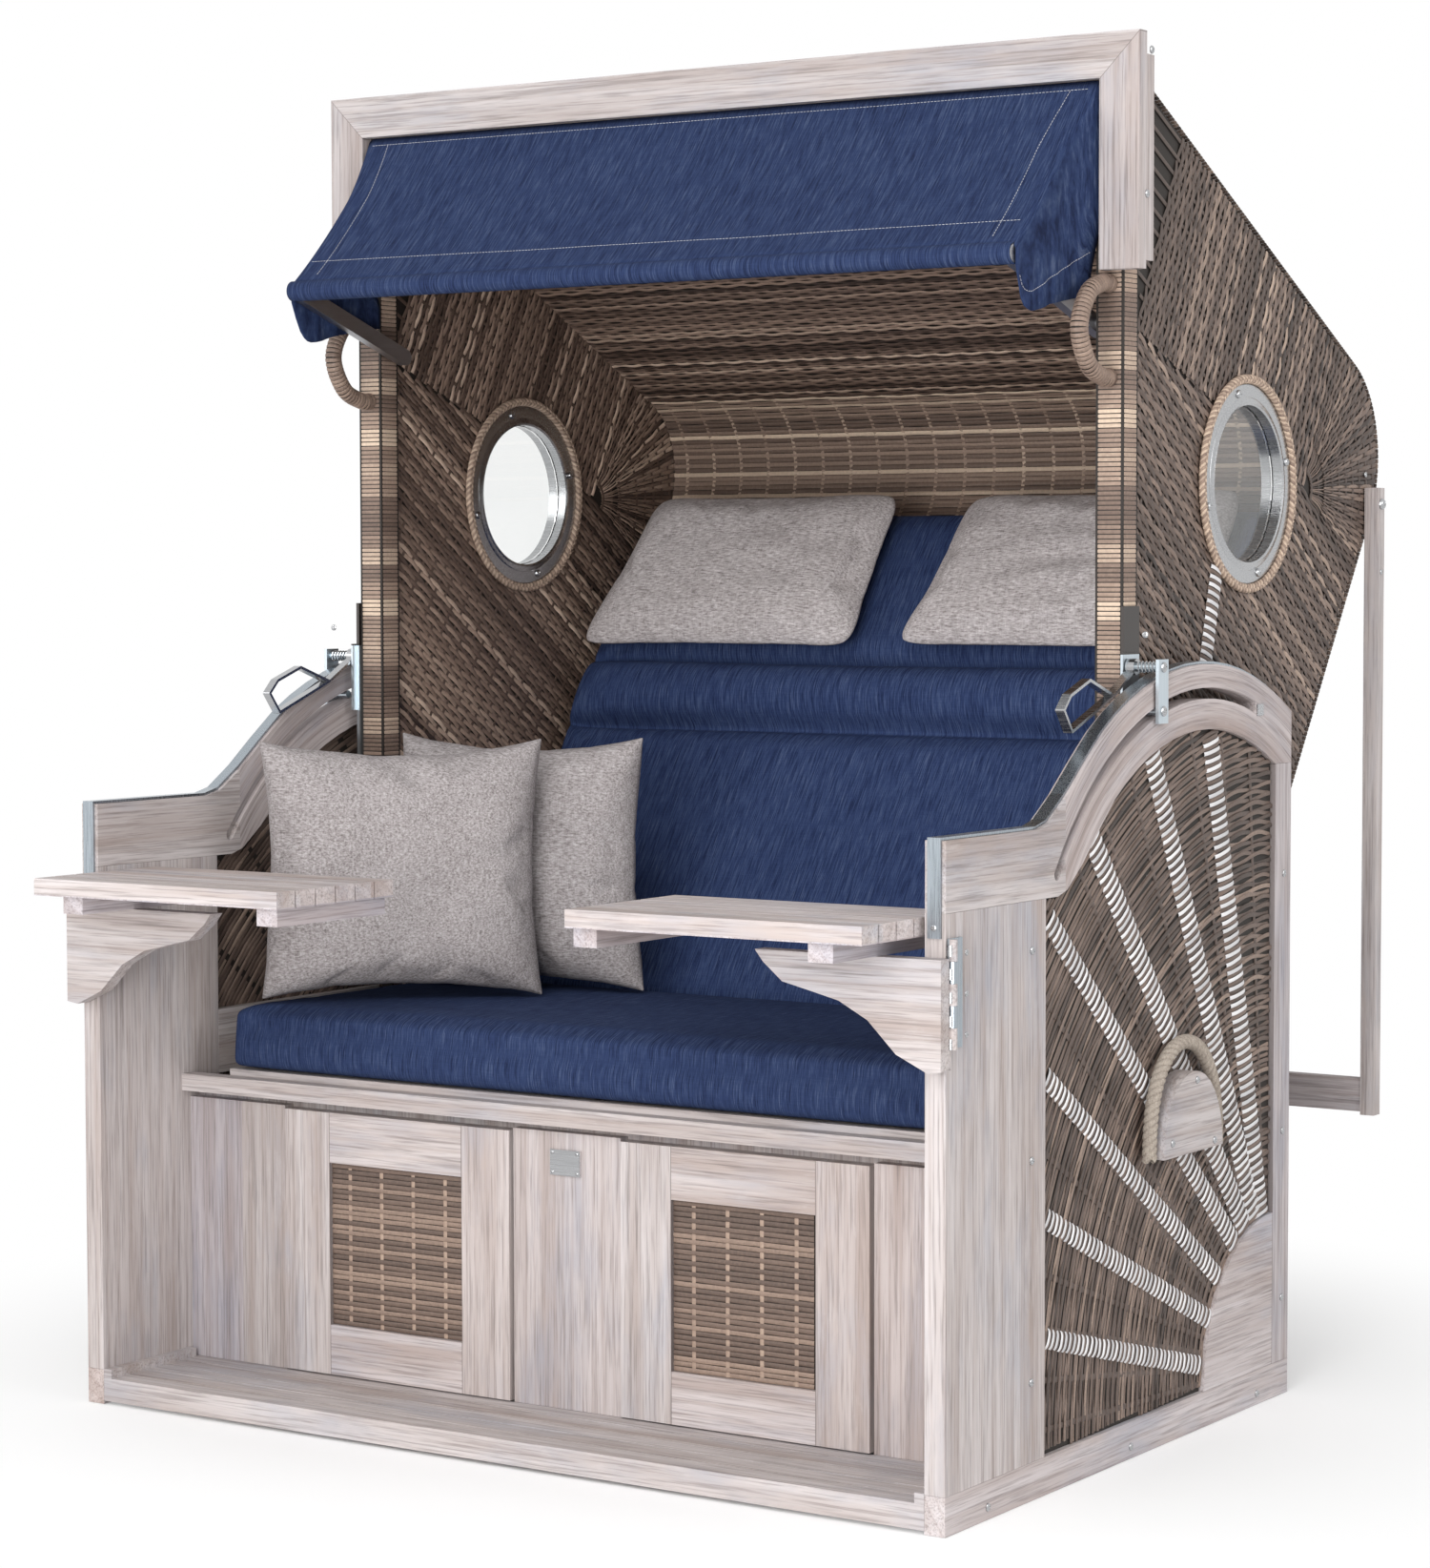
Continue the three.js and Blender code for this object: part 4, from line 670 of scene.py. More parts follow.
def panel_strands(strands, x, out, port_radius):
    """Strands on one face of a hood side, at x, with out giving the way the face looks."""
    outline = side_outline(1.0)
    step = 3.5
    families = []
    count = int(1200 / PITCH)
    for k in range(count):
        offset = -700 + k * PITCH
        t = np.arange(-20, 900, step)
        start = CORNER + DOWN_ROOF * offset
        families.append((0, k, start - OUT_ROOF * t[:, None], t, PITCH))
        start = CORNER + UP_BACK * (-1100 + k * PITCH)
        families.append((1, k, start - OUT_BACK * t[:, None], t, PITCH))
    reach = 330.0
    first = math.degrees(math.atan2(OUT_BACK[1], OUT_BACK[0]))
    last = math.degrees(math.atan2(OUT_ROOF[1], OUT_ROOF[0]))
    rays = int(math.radians(last - first) * FAN / PITCH)
    for k in range(rays + 1):
        angle = math.radians(first + (last - first) * (k + 0.5) / (rays + 1))
        r = np.arange(22 if k % 2 else 60, reach, step)
        path = STAR + np.stack([np.cos(angle) * r, np.sin(angle) * r], 1)
        families.append((2, k, path, reach - r, PITCH * np.clip(r / FAN, 0.3, 1.25)))
    for which, k, path, distance, width in families:
        keep = inside(path, outline) & (zone(path) == which)
        keep &= np.hypot(*(path - PORT).T) > port_radius
        width = np.broadcast_to(width, (len(path),))
        for part in runs(keep, 4):
            sway = rng.normal(0, 0.5) + 0.7 * np.sin(distance[part] / 31 + rng.uniform(0, 6))
            line = path[part]
            tangent = line[1] - line[0]
            across = np.array([-tangent[1], tangent[0]]) / np.linalg.norm(tangent)
            line = line + across * sway[:, None]
            height = wavy(distance[part], k) + rng.normal(0, 0.12)
            points = np.column_stack([x + out * height, line])
            strands.add(points, (out, 0, 0), width[part] * 0.97, 1.0, strand_tone(), True)
    for depth in np.arange(STAKE / 2, 700, STAKE):
        for which, a, b, direction in ((0, CORNER, -DOWN_ROOF, OUT_ROOF), (1, CORNER, -UP_BACK, OUT_BACK)):
            t = np.arange(-60, 1100, 9.0)
            path = a + b * t[:, None] - direction * depth
            keep = inside(path, outline) & (zone(path) == which) & (np.hypot(*(path - PORT).T) > port_radius)
            lay_stake(strands, path, keep, x + out * 0.1, out, *STAKE_LOOK)
        radius = reach - depth
        if radius > 20:
            path = arc(STAR, radius, first, last, 26)
            lay_stake(strands, path, inside(path, outline), x + out * 0.1, out, *STAKE_LOOK)


def edge_wraps(strands, line, x0, x1):
    """Strands bent over an edge that runs along a line of [y, z] points, from x0 to x1."""
    for point, normal in along_line(line, np.arange(3.0, distances(line)[-1] - 2, PITCH)):
        angle = np.radians(np.linspace(4, 176, 9))
        xs = (x0 + x1) / 2 - (x1 - x0) / 2 * np.cos(angle)
        bulge = -2.6 + 2.2 * np.sin(angle)
        path = np.column_stack([xs, point[0] + normal[0] * bulge, point[1] + normal[1] * bulge])
        facing = np.column_stack([-np.cos(angle) * 0.8, normal[0] * np.sin(angle), normal[1] * np.sin(angle)])
        facing /= np.linalg.norm(facing, axis=1, keepdims=True)
        strands.add(path, facing, PITCH * 0.98, 0.9, strand_tone(), True)


def backing(name, outline, x0, x1, holes=()):
    """A closed plate in the side plane that the strands lie on; it carries the near-black painted shade seen
    through the gaps between strands.
    """
    bm = bmesh.new()
    loops = []
    for ring in (outline, *holes):
        verts = [bm.verts.new(place(x0, y, z)) for y, z in ring]
        loops.extend(bm.edges.new((verts[i], verts[(i + 1) % len(verts)])) for i in range(len(verts)))
    bmesh.ops.triangle_fill(bm, edges=loops, use_beauty=True, use_dissolve=False)
    faces = list(bm.faces)
    made = bmesh.ops.extrude_face_region(bm, geom=faces)
    moved = [v for v in made["geom"] if isinstance(v, bmesh.types.BMVert)]
    bmesh.ops.translate(bm, verts=moved, vec=((x1 - x0) * MM, 0, 0))
    bmesh.ops.recalc_face_normals(bm, faces=bm.faces)
    mesh = bpy.data.meshes.new(name)
    bm.to_mesh(mesh)
    bm.free()
    return mesh


def weave_hood_sides():
    for side, sign in SIDES:
        inner, outer = HOOD_INNER, HOOD_OUTER
        strands = Strands()
        panel_strands(strands, sign * (inner + STRAND_DEPTH), -sign, 110)
        strands.piece(f"hood_side_inner_weave_{side}", INNER_CANE_PAINTED_LIGHT, "hood", "wicker")
        strands = Strands()
        panel_strands(strands, sign * (outer - STRAND_DEPTH), sign, 110)
        edge = np.vstack([hood_line(POST_REAR, 0), arc(PIVOT, HUB, BACK_DEGREES - 90, -150, 14)[1:]])
        edge_wraps(strands, edge[::-1], inner + 0.5, outer - 1.0)
        strands.piece(f"hood_side_weave_{side}", CANE, "hood", "wicker")
        plate = backing(f"hood_side_core_{side}", side_outline(3.0), sign * (inner + CORE_DEPTH),
                        sign * (outer - CORE_DEPTH), (arc(PORT, 108.0, 0, 354, 59),))
        link(f"hood_side_core_{side}", plate, CANE_SHADE_BACKING, "hood", (f"hood_side_{side}",))


weave_hood_sides()


# Woven roof and back
def weave_shell(strands, line, half, facing, start, end):
    """Strands across the chair that follow a line of the shell; facing is 1 outside, -1 inside."""
    xs = np.arange(-half, half + 1, STAKE / 4)
    for k, (point, normal) in enumerate(along_line(line, np.arange(start, end, PITCH))):
        normal = normal * facing
        height = wavy(xs, k) + rng.normal(0, 0.15)
        sway = 0.8 * np.sin(xs / 47 + rng.uniform(0, 6)) + rng.normal(0, 0.4)
        along = np.array([-normal[1], normal[0]])
        y = point[0] + normal[0] * height + along[0] * sway
        z = point[1] + normal[1] * height + along[1] * sway
        strands.add(np.column_stack([xs, y, z]), (0, *normal), PITCH * 0.97, 1.0, strand_tone(), True)


def strip_tone():
    """Most flat strips are mid browns and about one in four is light."""
    return float(rng.uniform(0.78, 0.98) if rng.random() < 0.27 else rng.uniform(0.24, 0.56))


def weave_flat(strands, line, half, start, end):
    """Flat strips across the upper back, with short upright warps showing between them."""
    spots = along_line(line, np.arange(start, end, PITCH))
    gap = 46.0
    xs = np.arange(-half, half + 1, gap / 6)
    for k, (point, normal) in enumerate(spots):
        height = -0.7 * np.sin(np.pi * xs / gap + np.pi * (k % 2))
        y = point[0] - normal[0] * height
        z = point[1] - normal[1] * height
        strands.add(np.column_stack([xs, y, z]), (0, -normal[0], -normal[1]), 5.9, 0.9, strip_tone(), True)
    places = np.array([spot for spot, _ in spots])
    normal = np.array([(0, -n[0], -n[1]) for _, n in spots])
    for x in np.arange(-half + gap / 2, half, gap):
        path = np.column_stack([np.full(len(places), x), places])
        strands.add(path, normal, 5.2, 0.3, rng.uniform(0.5, 0.8), True, 0.42)


def shell_core(name, line, inset, depth, half):
    """The closed plate under the strands of the roof or the back."""
    normals = []
    for i in range(len(line)):
        a = line[max(i - 1, 0)]
        b = line[min(i + 1, len(line) - 1)]
        along = (b - a) / np.linalg.norm(b - a)
        normals.append((-along[1], along[0]))
    normals = np.array(normals)
    outline = np.vstack([line - normals * inset, (line - normals * depth)[::-1]])
    return backing(name, outline, -half, half)


def weave_roof_and_back():
    whole = hood_line(POST_FRONT, -40, 0, 16)
    part = 9                                    # the line's point where the roof ends and the back begins
    half = 529.5
    outer_line = hood_line(POST_FRONT, -40, STRAND_DEPTH, 16)
    scale = distances(outer_line)
    inner_line = hood_line(POST_FRONT, -40, SHELL - STRAND_DEPTH, 16)
    inner_lengths = distances(inner_line)
    for name, first, last, o0, o1, i0, i1 in (
            ("roof", 0, part, 2, scale[part] - 3, 26, inner_lengths[part]),
            ("back", part, len(whole) - 1, scale[part] + 3, scale[-1] - 3,
             inner_lengths[part], inner_lengths[part] + 330)):
        strands = Strands()
        weave_shell(strands, outer_line, half, 1, o0, o1)
        if name == "back":
            weave_shell(strands, inner_line, half, -1, inner_lengths[-1] - 90, inner_lengths[-1] - 3)
        strands.piece(f"hood_{name}_weave", CANE, "hood", "wicker")
        strands = Strands()
        if name == "roof":
            weave_shell(strands, inner_line, half, -1, i0, inner_lengths[1] - 2)
            strands.piece("hood_roof_inner_weave", INNER_CANE_PAINTED_LIGHT, "hood", "wicker")
            strands = Strands()
            weave_flat(strands, inner_line, half, inner_lengths[1], i1)
        else:
            weave_flat(strands, inner_line, half, i0, i1)
        strands.piece(f"hood_{name}_inner_flat", STRIP, "hood", "wicker")
        core = shell_core(f"hood_{name}_core", whole[first:last + 1], CORE_DEPTH, SHELL - CORE_DEPTH, half)
        link(f"hood_{name}_core", core, CANE_SHADE_BACKING, "hood", (f"hood_{name}",))


weave_roof_and_back()


# Woven lower sides
FOOT = np.array([797.0, 42.0])                  # the lower rear corner that the ribs fan out from
RIBS = (((225, 171), (612, 72)), ((224, 304), (632, 124)), ((224, 459), (665, 164)),
        ((238, 624), (709, 195)), ((337, 706), (740, 204)), ((481, 790), (761, 212)),
        ((628, 811), (775, 216)))
RIB_HALF_WIDTHS = (11.5, 12.0, 12.5, 14.5, 18.0, 19.5, 20.5)


def lower_outline(inset):
    flare_end = arc(PIVOT, 403, 124.3, 124.3, 1)[0]
    flare = [[245 + (flare_end[0] - 245) * a, 654 + (flare_end[1] - 654) * b]
             for a, b in ((0, 0), (0.16, 0.06), (0.43, 0.33), (0.72, 0.68))]
    top = np.vstack([flare, arc(PIVOT, 403, 124.3, 61.55, 24)])
    top[:, 1] -= inset
    corner = arc((796.7, 42.3), 186.3 + inset, 90, 180, 16)
    return np.vstack([[[217.3 + inset, 654 - inset]], top, [[796.7 - inset, top[-1][1]]],
                      corner, [[217.3 + inset, 42.3 + inset]]])


def rib_phase(points):
    """Counts ribs and the stakes between them: whole numbers on each of them."""
    values = []
    for (y0, z0), (y1, z1) in RIBS:
        a, b = np.array([y0, z0]), np.array([y1, z1])
        along = (b - a) / np.linalg.norm(b - a)
        rel = points - a
        values.append(along[0] * rel[:, 1] - along[1] * rel[:, 0])
    values = np.array(values)
    phase = np.zeros(len(points))
    for i in range(len(RIBS) - 1):
        between = (values[i] > 0) & (values[i + 1] <= 0)
        share = values[i] / np.maximum(values[i] - values[i + 1], 1e-6)
        phase = np.where(between, i + share, phase)
    phase = np.where(values[0] <= 0, np.clip(1 + (values[0] - 95) / 95, -2, 0.001), phase)
    phase = np.where(values[-1] > 0, len(RIBS) - 1 + values[-1] / 95, phase)
    return phase * 2


def wind_rib(pale, brown, sign, height, a, b, half, outline=None):
    """Pale and brown strips wound in turn round a stake that runs from a to b on a side."""
    length = np.linalg.norm(b - a)
    along = (b - a) / length
    across = np.array([-along[1], along[0]])
    reach = np.linspace(-1, 1, 11)
    for number, at in enumerate(np.arange(2, length, 5.2)):
        lean = rng.normal(0, 0.3) + 1.2 * reach + rng.normal(0, 0.5) * reach
        line = a + along * at + across * (reach * half)[:, None] + along * np.reshape(lean, (-1, 1))
        if outline is not None and not inside(line, outline).all():
            continue
        white = number % 2 == 0
        level = height - (0.0 if white else 0.9) - 2.9 * np.abs(reach) ** 3.5
        points = np.column_stack([sign * level, line])
        if white:
            pale.add(points, (sign, 0, 0), 4.7, 0.9, rng.random(), True)
        else:
            brown.add(points, (sign, 0, 0), 5.0, 0.8, rng.uniform(0.25, 0.62), True)


def weave_lower_inside(side, sign):
    """The inner face of a lower side, seen behind the throw pillows."""
    outline = lower_outline(1.5)
    strands = Strands()
    for k, radius in enumerate(np.arange(189, 860, PITCH)):
        path = arc(FOOT, radius, 88, 182, int(radius * math.pi / 2 / 12))
        height = 0.8 * np.cos(np.pi * rib_phase(path) + np.pi * (k % 2))
        for part in runs(inside(path, outline), 3):
            points = np.column_stack([sign * (589.5 - height[part]), path[part]])
            strands.add(points, (-sign, 0, 0), PITCH, 0.8, strand_tone(), True)
    strands.piece(f"lower_inner_weave_{side}", CANE, "base", "wicker")


def weave_lower_sides():
    outline = lower_outline(0.8)
    outer = 598.0
    for side, sign in SIDES:
        strands = Strands()
        for k, radius in enumerate(np.arange(189, 860, PITCH)):
            count = int(radius * math.pi / 2 / 6)
            path = arc(FOOT, radius, 88, 182, count)
            keep = inside(path, outline)
            phase = rib_phase(path)
            for part in runs(keep, 3):
                line = path[part]
                out = (line - FOOT) / radius
                wave = np.sin(np.pi * phase[part] + np.pi * (k % 2) + np.pi / 2)
                sway = rng.normal(0, 0.9) + 2.7 * wave * rng.uniform(0.5, 1.2)
                line = line + out * np.reshape(sway, (-1, 1))
                height = 1.3 * wave + rng.normal(0, 0.15)
                points = np.column_stack([sign * (outer - LOWER_DEPTH + height), line])
                width = PITCH * (0.72 + 0.16 * rng.random())
                strands.add(points, (sign, 0, 0), width, 0.9, strand_tone(), True)
        for i in range(2 * len(RIBS) + 2):
            spread = np.radians(92 + 88 * (i + 0.5) / (2 * len(RIBS) + 2))
            r = np.arange(188, 850, 9.0)
            path = FOOT + np.stack([np.cos(spread) * r, np.sin(spread) * r], 1)
            lay_stake(strands, path, inside(path, outline), sign * (outer - LOWER_DEPTH), sign, 7, 0.7, 0.3)
        winding = Strands()
        pale = Strands()
        for rib, ((y0, z0), (y1, z1)) in enumerate(RIBS):
            a, b = np.array([y0, z0], float), np.array([y1, z1], float)
            a -= (b - a) / np.linalg.norm(b - a) * 8
            b += (b - a) / np.linalg.norm(b - a) * 14
            wind_rib(pale, winding, sign, outer + 0.1, a, b, RIB_HALF_WIDTHS[rib], outline)
        strands.piece(f"lower_weave_{side}", CANE, "base", "wicker")
        winding.piece(f"rib_winding_{side}", CANE, "base", "wicker")
        pale.piece(f"pale_winding_{side}", WHITE_STRIP, "base", "winding")
        weave_lower_inside(side, sign)
        core = backing(f"lower_core_{side}", lower_outline(0.3), sign * 589.6, sign * (outer - 4.6))
        link(f"lower_core_{side}", core, CANE_SHADE_BACKING, "base", (f"side_wicker_{side}",))


weave_lower_sides()


# Drawer inserts
def weave_drawers():
    for side, x0, x1 in DRAWERS:
        strands = Strands()
        front = 162.0
        warps = np.linspace(x0 + 28, x1 - 28, 4)
        gap = warps[1] - warps[0]
        for k, z in enumerate(np.arange(98.4, 292, 6.15)):
            xs = np.arange(x0 + 0.5, x1, 4.5)
            wave = np.sin(np.pi * (xs - warps[0]) / gap + np.pi / 2 + np.pi * (k % 2))
            path = np.column_stack([xs, front + 1.2 - 0.7 * wave, np.full(len(xs), z)])
            strands.add(path, (0, -1, 0), 5.5, 0.9, strip_tone() * 0.5, True)
        for x in warps:
            zs = np.arange(96, 293, 6.0)
            path = np.column_stack([np.full(len(zs), x), np.full(len(zs), front + 1.1), zs])
            strands.add(path, (0, -1, 0), 5.2, 0.6, rng.uniform(0.5, 0.66), True)
        body = f"drawer_{side}"
        strands.piece(f"drawer_weave_{side}", STRIP, body, "wicker")
        verts, faces = [], []
        small_box(verts, faces, (x0 + 0.4, front + 2.6, 95.4), (x1 - 0.4, front + 9.8, 292.6))
        core = mesh_from(f"drawer_core_{side}", verts, faces, False)
        # The box behind the drawer's woven filling gets the painted shade.
        link(f"drawer_core_{side}", core, CANE_SHADE_BACKING, body, (f"drawer_wicker_{side}",))


weave_drawers()


# Wound posts and grab handles
def rounded_loop(x0, x1, y0, y1, radius):
    """A closed loop of [x, y] points round a rectangle, with outward normals."""
    points, normals = [], []
    for cx, cy, first in ((x1 - radius, y1 - radius, 0), (x0 + radius, y1 - radius, 90),
                          (x0 + radius, y0 + radius, 180), (x1 - radius, y0 + radius, 270)):
        for degrees in np.linspace(first, first + 90, 5):
            angle = math.radians(degrees)
            normals.append((math.cos(angle), math.sin(angle)))
            points.append((cx + radius * math.cos(angle), cy + radius * math.sin(angle)))
    points.append(points[0])
    normals.append(normals[0])
    return np.array(points), np.array(normals)


def band_tone(k):
    """Windings run in bands of dark, light and tan."""
    bands = (0.30, 0.34, 0.62, 0.66, 0.50, 0.86, 0.58, 0.36, 0.72, 0.44)
    return float(np.clip(bands[(k // 4) % len(bands)] + rng.normal(0, 0.03), 0, 1))


def wind_posts():
    """Strips wound round the hood's two front posts."""
    for side, sign in SIDES:
        strands = Strands()
        x0, x1 = sorted((sign * 519.7, sign * 554.3))
        loop, normals = rounded_loop(x0, x1, 482.6, 517.8, 4.0)
        pitch = 5.5
        for k, z in enumerate(np.arange(623, roof_z(500) - 30, pitch)):
            path = np.column_stack([loop, np.full(len(loop), z)])
            facing = np.column_stack([normals, np.zeros(len(loop))])
            strands.add(path, facing, pitch * 0.97, 0.7, band_tone(k), True)
        strands.piece(f"post_winding_{side}", STRIP, "hood", "winding")


def smooth_path(points, count):
    """A Catmull-Rom curve through [x, y, z] points at even steps."""
    p = np.asarray(points, float)
    p = np.vstack([2 * p[0] - p[1], p, 2 * p[-1] - p[-2]])
    dense = []
    for i in range(1, len(p) - 2):
        t = np.linspace(0, 1, 24, endpoint=False)[:, None]
        a, b, c, d = p[i - 1], p[i], p[i + 1], p[i + 2]
        dense.append(0.5 * (2 * b + (c - a) * t + (2 * a - 5 * b + 4 * c - d) * t ** 2
                            + (3 * b - a - 3 * c + d) * t ** 3))
    dense = np.vstack([*dense, p[-2][None]])
    lengths = distances(dense)
    even = np.linspace(0, lengths[-1], count)
    return np.column_stack([np.interp(even, lengths, dense[:, i]) for i in range(3)])


def frames(path):
    """Two directions across a path at each of its points."""
    tangent = np.gradient(path, axis=0)
    tangent /= np.linalg.norm(tangent, axis=1, keepdims=True)
    first = np.cross(tangent[0], (1.0, 0.0, 0.0))
    if np.linalg.norm(first) < 0.1:
        first = np.cross(tangent[0], (0.0, 1.0, 0.0))
    a = [first / np.linalg.norm(first)]
    for t in tangent[1:]:
        v = a[-1] - t * np.dot(a[-1], t)
        a.append(v / np.linalg.norm(v))
    a = np.array(a)
    return a, np.cross(tangent, a)


def rings_round(strands, points, radius, pitch, tones):
    """Windings round a bent bar."""
    length = np.linalg.norm(np.diff(smooth_path(points, 200), axis=0), axis=1).sum()
    count = int(length / pitch)
    path = smooth_path(points, count * 2 + 1)
    a, b = frames(path)
    around = np.linspace(0, 2 * math.pi, 17)[:, None]
    for k in range(count):
        i = 2 * k + 1
        facing = np.cos(around) * a[i] + np.sin(around) * b[i]
        strands.add(path[i] + facing * radius, facing, pitch * 0.98, 0.7, tones(k), True)


def tube(strands, path, radius, tone, sides):
    """A round strand along a path."""
    a, b = frames(path)
    count = len(path)
    angles = np.arange(sides) / sides * 2 * math.pi
    ring = [path + radius * (math.cos(t) * a + math.sin(t) * b) for t in angles]
    points = np.stack(ring, 1).reshape(-1, 3)
    i = np.arange(count - 1)[:, None] * sides
    j = np.arange(sides)[None, :]
    k = (np.arange(sides)[None, :] + 1) % sides
    faces = np.stack([i + j, i + k, i + k + sides, i + j + sides], -1).reshape(-1, 4)
    strands.points.append(points)
    strands.faces.append(faces + strands.count)
    strands.tones.append(np.full(len(points), tone, np.float32))
    strands.count += len(points)


def wind_grab_handles():
    shares = ((0, 0), (0.25, 0), (0.72, 0.13), (1, 0.5), (0.72, 0.87), (0.25, 1), (0, 1))
    for side, sign in SIDES:
        strands = Strands()
        points = [(sign * 537, 482 - out * 74, 1334 - down * 106) for out, down in shares]
        rings_round(strands, points, 10.0, 5.0, lambda _: float(rng.normal(0.42, 0.05)))
        strands.piece(f"grab_winding_{side}", STRIP, "hood", "winding")


wind_posts()
wind_grab_handles()


# Portholes
def turned(profile):
    """A closed piece turned about the porthole's axis: its profile holds [radius, x] points."""
    verts, faces, sides = [], [], 96
    n = len(profile)
    for i in range(sides):
        angle = 2 * math.pi * i / sides
        for r, x in profile:
            verts.append(tuple(place(x, PORT[0] + r * math.cos(angle), PORT[1] + r * math.sin(angle))))
    for i in range(sides):
        j = (i + 1) % sides
        for k in range(n):
            m = (k + 1) % n
            faces.append((i * n + k, i * n + m, j * n + m, j * n + k))
    return verts, faces


def fit_portholes():
    for side, sign in SIDES:
        inner, outer = HOOD_INNER, HOOD_OUTER
        profile = [(95, inner - 3), (97.5, inner - 4.4), (100, inner - 3), (103.5, inner - 2.6),
                   (105, inner - 1.6), (112, inner - 2.2), (120, inner - 1.6), (120, inner - 0.3),
                   (106, inner - 0.3), (106, outer + 0.3), (120, outer + 0.3), (120, outer + 1.6),
                   (112, outer + 2.2), (105, outer + 1.6), (103.5, outer + 2.6), (100, outer + 3),
                   (97.5, outer + 4.4), (95, outer + 3), (95, 545.4), (96.2, 545), (96.2, 539.5), (95, 539)]
        verts, faces = turned([(r, sign * x) for r, x in profile])
        for face_x, way in ((inner - 2.0, -1), (outer + 2.0, 1)):
            for i in range(4):
                angle = math.radians(15 + 90 * i)
                spot = place(sign * face_x, PORT[0] + 111 * math.cos(angle), PORT[1] + 111 * math.sin(angle))
                screw(verts, faces, spot, (sign * way, 0, 0), 0.0052, 0.0034, i * 0.7)
        mesh = mesh_from(f"porthole_ring_{side}", verts, faces)
        link(f"porthole_ring_{side}", mesh, STEEL, "hood", (f"porthole_{side}",))
        braid = Strands()
        turns = 34
        t = np.linspace(0, 2 * math.pi, 521)
        for face_x, way in ((inner, -1), (outer, 1)):
            for strand in range(6):
                phase = turns * t + strand * math.pi / 3
                r = 126.5 + 4.0 * np.sin(phase)
                lift = 3.4 + 2.0 * np.sin(2 * phase + 0.6)
                path = np.column_stack([sign * (face_x + way * lift), PORT[0] + r * np.cos(t),
                                        PORT[1] + r * np.sin(t)])
                tube(braid, path, 2.0, (0.8, 0.52, 0.68, 0.42, 0.84, 0.6)[strand], 6)
        braid.piece(f"porthole_braid_{side}", STRIP, "hood", "wicker")
        glass = nodes[f"porthole_glass_{side}"]
        glass.data.materials.clear()
        glass.data.materials.append(GLASS)


fit_portholes()


# How each timber piece is boarded
def past(axis, value):
    """The side of a plane across one axis; a minus before the axis takes the other side."""
    sign = -1 if axis[0] == "-" else 1
    index = "xyz".index(axis[-1])
    normal = [0.0, 0.0, 0.0]
    normal[index] = sign
    return tuple(normal), sign * (value - (SHIFT if index == 1 else 0)) * MM


def mitre(sign):
    """The slanting joint at a corner of the hood's front frame."""
    return (sign, 0.0, -1.0), (533 - 1565) * MM


COOL, WARMER, PALER = (0.90, 0.90, 0.95), (0.97, 0.90, 0.87), (1.08, 1.08, 1.10)
LEG_TINT = (0.93, 0.93, 0.96)
SLAT_TINTS = ((0.96, 0.94, 0.94), (1.04, 1.03, 1.04), (0.97, 0.96, 0.97), (1.02, 1.0, 1.0))
BOARDS = {
    "front_panel": ("Z", [([past("x", -80)], "Z", (1.06, 1.04, 1.04)),
                          ([past("x", 413)], "Z", (1.0, 0.95, 0.93)),
                          ([past("-x", -492)], "Z", COOL)], []),
    "mouth_frame": ("X", [([mitre(1)], "Z", (1.04, 1.03, 1.03)), ([mitre(-1)], "Z", (0.97, 0.97, 0.98))],
                    [mitre(1), mitre(-1)]),
    "base_frame": ("X", [([past("x", 575)], "Y", PALER), ([past("-x", -575)], "Y", WARMER)], []),
    "rear_panel": ("X", [([past("x", 575), past("y", 796.5)], "Z", LEG_TINT),
                         ([past("-x", -575), past("y", 796.5)], "Z", LEG_TINT),
                         ([past("x", 575), past("-y", 796.5)], "Y", PALER),
                         ([past("-x", -575), past("-y", 796.5)], "Y", PALER)],
                   [past("y", 796.5)]),
    "prop_frame": ("Z", [([past("-x", 555), past("x", -555)], "X", LEG_TINT)], []),
}
for side, low, high in DRAWERS:
    BOARDS[f"drawer_front_{side}"] = (
        "Z", [([past("x", high)], "Z", (1.03, 1.01, 1.0)),
              ([past("x", low), past("-x", high), past("z", 292.7)], "X", (1.0, 0.98, 0.97)),
              ([past("x", low), past("-x", high), past("-z", 95.3)], "X", (1.05, 1.03, 1.03))],
        [past("x", low), past("x", high)])
    BOARDS[f"arch_board_{side}"] = ("Y", [([past("y", 262)], "arch", (0.96, 0.93, 0.93))], [])
    slats = [([past("y", -117 + 42.4 * k)], "X", tint) for k, tint in enumerate(SLAT_TINTS, 1)]
    BOARDS[f"table_top_{side}"] = ("X", slats + [([past("-z", 630)], "Y", COOL)], [])
    BOARDS[f"table_bracket_{side}"] = ("X", [], [])


# Awning cloth
TOP_COLUMNS, FLAP_COLUMNS = 121, 13              # points across the top and down each side flap


def sheet_mesh(name, grid):
    """A smooth mesh over rows of [x, y, z] points in millimetres, and its area."""
    rows, count = grid.shape[:2]
    verts = [tuple(place(*p)) for p in grid.reshape(-1, 3)]
    faces = [(i * count + j, i * count + j + 1, (i + 1) * count + j + 1, (i + 1) * count + j)
             for i in range(rows - 1) for j in range(count - 1)]
    mesh = bpy.data.meshes.new(name)
    mesh.from_pydata(verts, [], faces)
    mesh.shade_smooth()
    return mesh, sum(polygon.area for polygon in mesh.polygons)


def thicken(cloth):
    """Gives a sheet the thickness of its cloth."""
    thick = cloth.modifiers.new("thickness", "SOLIDIFY")
    thick.thickness = CLOTH * MM
    thick.offset = 0


